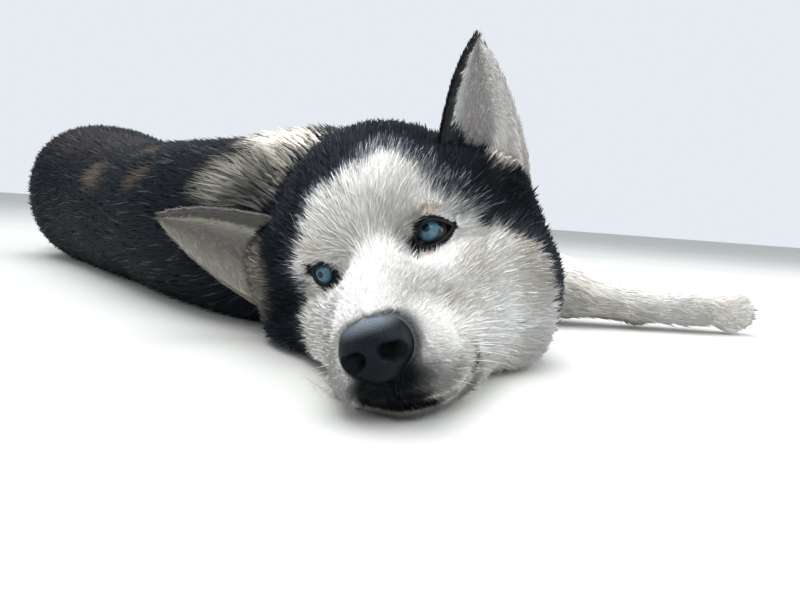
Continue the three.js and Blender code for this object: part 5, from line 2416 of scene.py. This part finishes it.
@dataclass(frozen=True)
class Husky:
    """Skin, ears and coat."""

    coat: Coat
    floor: float = 1.2
    ear_tufts: int = 22000

    def skin(self) -> Ground:
        """Makes the skin with its ears.

        Returns:
            The skin without its ears, as the coat's ground.
        """
        points, faces = SkinMaker().make()
        rng = np.random.default_rng(11)
        speck = rng.random(len(points)) * 0.2 + 0.4
        tint = MARKINGS.at(points, FORM.regions(points), speck)
        tint = tint * (0.62 + 0.3 * ramp(tint.mean(1), 0.1, 0.6))[:, None]
        body = len(points)
        all_points, all_faces, tints = [points], list(faces), [tint]
        for ear in EARS.values():
            ear_points, ear_faces, h, s, hollow = ear.make()
            start = sum(len(p) for p in all_points)
            all_points.append(ear_points)
            all_faces += [[i + start for i in f] for f in ear_faces]
            flesh = ear.colour(h, s, hollow, np.full(len(h), 0.5))
            flesh = mixed(flesh, (0.30, 0.22, 0.21), hollow * ramp(np.abs(s), 0.9, 0.3) * 0.55)
            tints.append(flesh * 0.8)
        points, tints = np.concatenate(all_points), np.concatenate(tints)
        points[:, 2] = np.maximum(points[:, 2], self.floor)
        made = outward(new_piece("skin", points, all_faces, SkinFinish().make()))
        paint(made.data, "tint", tints)
        flesh_nodes = [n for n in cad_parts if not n.startswith(("eye_", "nose", "claw_"))]
        seat(made, "coat_grey", *flesh_nodes)
        me = made.data
        me.calc_loop_triangles()
        tris = np.empty(len(me.loop_triangles) * 3, np.int32)
        me.loop_triangles.foreach_get("vertices", tris)
        normals = np.empty(len(me.vertices) * 3, np.float32)
        me.vertices.foreach_get("normal", normals)
        tris = tris.reshape(-1, 3)
        tris = tris[(tris < body).all(1)]
        centre = points[tris].mean(1)
        return Ground(points, tris, normals.reshape(-1, 3).astype(float), centre, owners(centre))

    def ear_coat(self, name: str, ear: Ear, finish: bpy.types.Material, rng: np.random.Generator) -> None:
        """The hair of one ear: short and dark behind, long and pale inside.

        Args:
            name: the ear's name.
            ear: the ear.
            finish: the hair's material.
            rng: the source of chance.
        """
        count = int(self.ear_tufts * self.coat.density)
        h, s = rng.random(count) ** 1.15 * 0.99, rng.uniform(-1, 1, count)
        hollow = rng.random(count) < 0.5
        rim = rng.random(count) < 0.16
        s = np.where(rim, np.sign(s) * (1 - 0.05 * rng.random(count)), s)
        keep = rng.random(count) < (1 - h**1.7) * 0.9 + 0.12
        h, s, hollow, rim = h[keep], s[keep], hollow[keep], rim[keep]
        count = len(h)
        e = 0.004
        place = ear.leaf(h, s)
        up = unit(ear.leaf(h + e, s) - place)
        across = unit(ear.leaf(h, np.clip(s + e, -1, 1)) - ear.leaf(h, np.clip(s - e, -1, 1)))
        back = unit(np.cross(across, up))
        back *= np.sign((back * ear.frame()[3]).sum(1))[:, None]
        normal = np.where(hollow[:, None], -back, back)
        place = place + normal * 1.1
        speck = rng.random(count)
        inward = -np.sign(s) * ramp(np.abs(s), 0.15, 0.8)
        inside = up * (0.9 + 0.3 * h[:, None]) + across * (inward * 0.75)[:, None]
        way = np.where(hollow[:, None], inside, up)
        way = way + 0.11 * rng.normal(0, 1, (count, 3))
        way = np.where(rim[:, None], up + across * (np.sign(s) * 0.16)[:, None], way)
        way = along_skin(way, normal)
        long = np.where(hollow, 7 + 16 * ramp(h, 0.55, 0.05) * ramp(np.abs(s), 0.1, 0.6), 8.5)
        long = np.where(rim, 6.0, long) * (0.7 + 0.5 * rng.random(count))
        long = np.minimum(long, (1.03 - h) * ear.length + 2.5)
        tint = ear.colour(h, s, hollow.astype(float), speck)
        tint = tint * (0.88 + 0.26 * rng.random((count, 1)))
        half = (np.clip(s, -1, 1) + 1) * 0.24 + np.where(hollow, 0.51, 0.01)
        roots = Roots(
            place, normal, way, depth=np.where(hollow, 1.6, 1.3), length=long, width=np.full(count, 0.6),
            tint=tint * 0.9, tip=tint, unwrap=np.stack([0.01 + 0.98 * np.clip(h, 0, 1), half], 1),
            lift=np.zeros(count))
        roots = roots.some(~(hollow & (np.abs(s) < 0.45) & (rng.random(count) < 0.45)))
        piece = CoatPiece(f"coat_{name}", count, Cut.BLADE, "coat_grey")
        BARBER.mesh(piece, roots, finish, rng, drape=False)

    def make(self) -> None:
        """Makes the skin and grows the coat on it."""
        ground = self.skin()
        finish = CoatFinish().make()
        for k, piece in enumerate(self.coat.pieces()):
            rng = np.random.default_rng(100 + k)
            BARBER.mesh(piece, self.coat.roots(piece, ground, rng), finish, rng)
        for k, (name, ear) in enumerate(EARS.items()):
            self.ear_coat(name, ear, finish, np.random.default_rng(200 + k))


# Studio


@dataclass(frozen=True)
class Lamp:
    """One soft square light, in metres and watts."""

    name: str
    place: tuple
    aim: tuple
    size: float
    power: float
    colour: Colour

    def make(self) -> None:
        """Hangs the lamp."""
        data = bpy.data.lights.new(self.name, "AREA")
        data.size, data.energy, data.color = self.size, self.power, self.colour
        turn = (Vector(self.aim) - Vector(self.place)).to_track_quat("-Z", "Y").to_matrix().to_4x4()
        linked(self.name, data).matrix_world = Matrix.Translation(Vector(self.place)) @ turn


@dataclass(frozen=True)
class Studio:
    """Pale floor, soft lights and the photo's camera, low in front of the dog."""

    height: float = 101.5
    heading: float = 42.2
    pitch: float = 8.0
    roll: float = 4.0
    lens: float = 27.0
    floor_side: float = 30.0
    lamps: tuple = (
        Lamp("key", (-1.5, -1.6, 1.9), (-0.15, -0.4, 0.1), size=1.9, power=27, colour=(1.0, 0.98, 0.95)),
        Lamp("fill", (1.4, -1.8, 1.1), (-0.1, -0.4, 0.1), size=2.0, power=41, colour=(0.95, 0.98, 1.0)),
        Lamp("top", (-0.35, -0.25, 2.5), (-0.15, -0.3, 0.0), size=2.4, power=92, colour=(0.97, 0.98, 1.0)),
    )
    sky: tuple = (0.83, 0.88, 0.93, 1.0)
    sky_strength: float = 0.95

    def camera(self) -> None:
        """The camera at the photo's place."""
        a, pitch, roll = (math.radians(x) for x in (self.heading, self.pitch, self.roll))
        flat = math.cos(pitch)
        forward = np.array([flat * math.sin(a), flat * math.cos(a), -math.sin(pitch)])
        level = np.array([math.cos(a), -math.sin(a), 0.0])
        up = np.cross(level, forward)
        right = level * math.cos(roll) + up * math.sin(roll)
        up = np.cross(right, forward)
        data = bpy.data.cameras.new("camera")
        data.sensor_width, data.lens, data.clip_start = 36.0, self.lens, 0.01
        made = linked("camera", data)
        turn = Matrix(np.array([right, up, -forward]).T.tolist()).to_4x4()
        made.matrix_world = Matrix.Translation(Vector(to_row(np.array([0.0, 0.0, self.height])))) @ turn
        bpy.context.scene.camera = made

    def make(self) -> None:
        """Makes floor, lights, world and camera."""
        half = self.floor_side / 2
        me = bpy.data.meshes.new("floor")
        corners = [(-half, -half, 0), (half, -half, 0), (half, half, 0), (-half, half, 0)]
        me.from_pydata(corners, [], [(0, 1, 2, 3)])
        me.materials.append(FloorFinish().make())
        floor = linked("floor", me)
        for lamp in self.lamps:
            lamp.make()
        world = bpy.data.worlds.new("studio")
        world.use_nodes = True
        background = world.node_tree.nodes["Background"]
        background.inputs["Color"].default_value = self.sky
        background.inputs["Strength"].default_value = self.sky_strength
        bpy.context.scene.world = world
        bpy.context.scene.view_settings.view_transform = "Standard"
        bpy.context.scene.view_settings.look = "None"
        self.camera()


def main() -> None:
    """Builds the studio and the dog."""
    logging.basicConfig(level=logging.INFO, format="%(name)s %(message)s")
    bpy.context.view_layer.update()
    Studio().make()
    Husky(Coat(1.0)).make()
    Eyes().make()
    Nose().make()
    Whiskers().make()
    Feet().make()


if __name__ == "__main__":
    main()
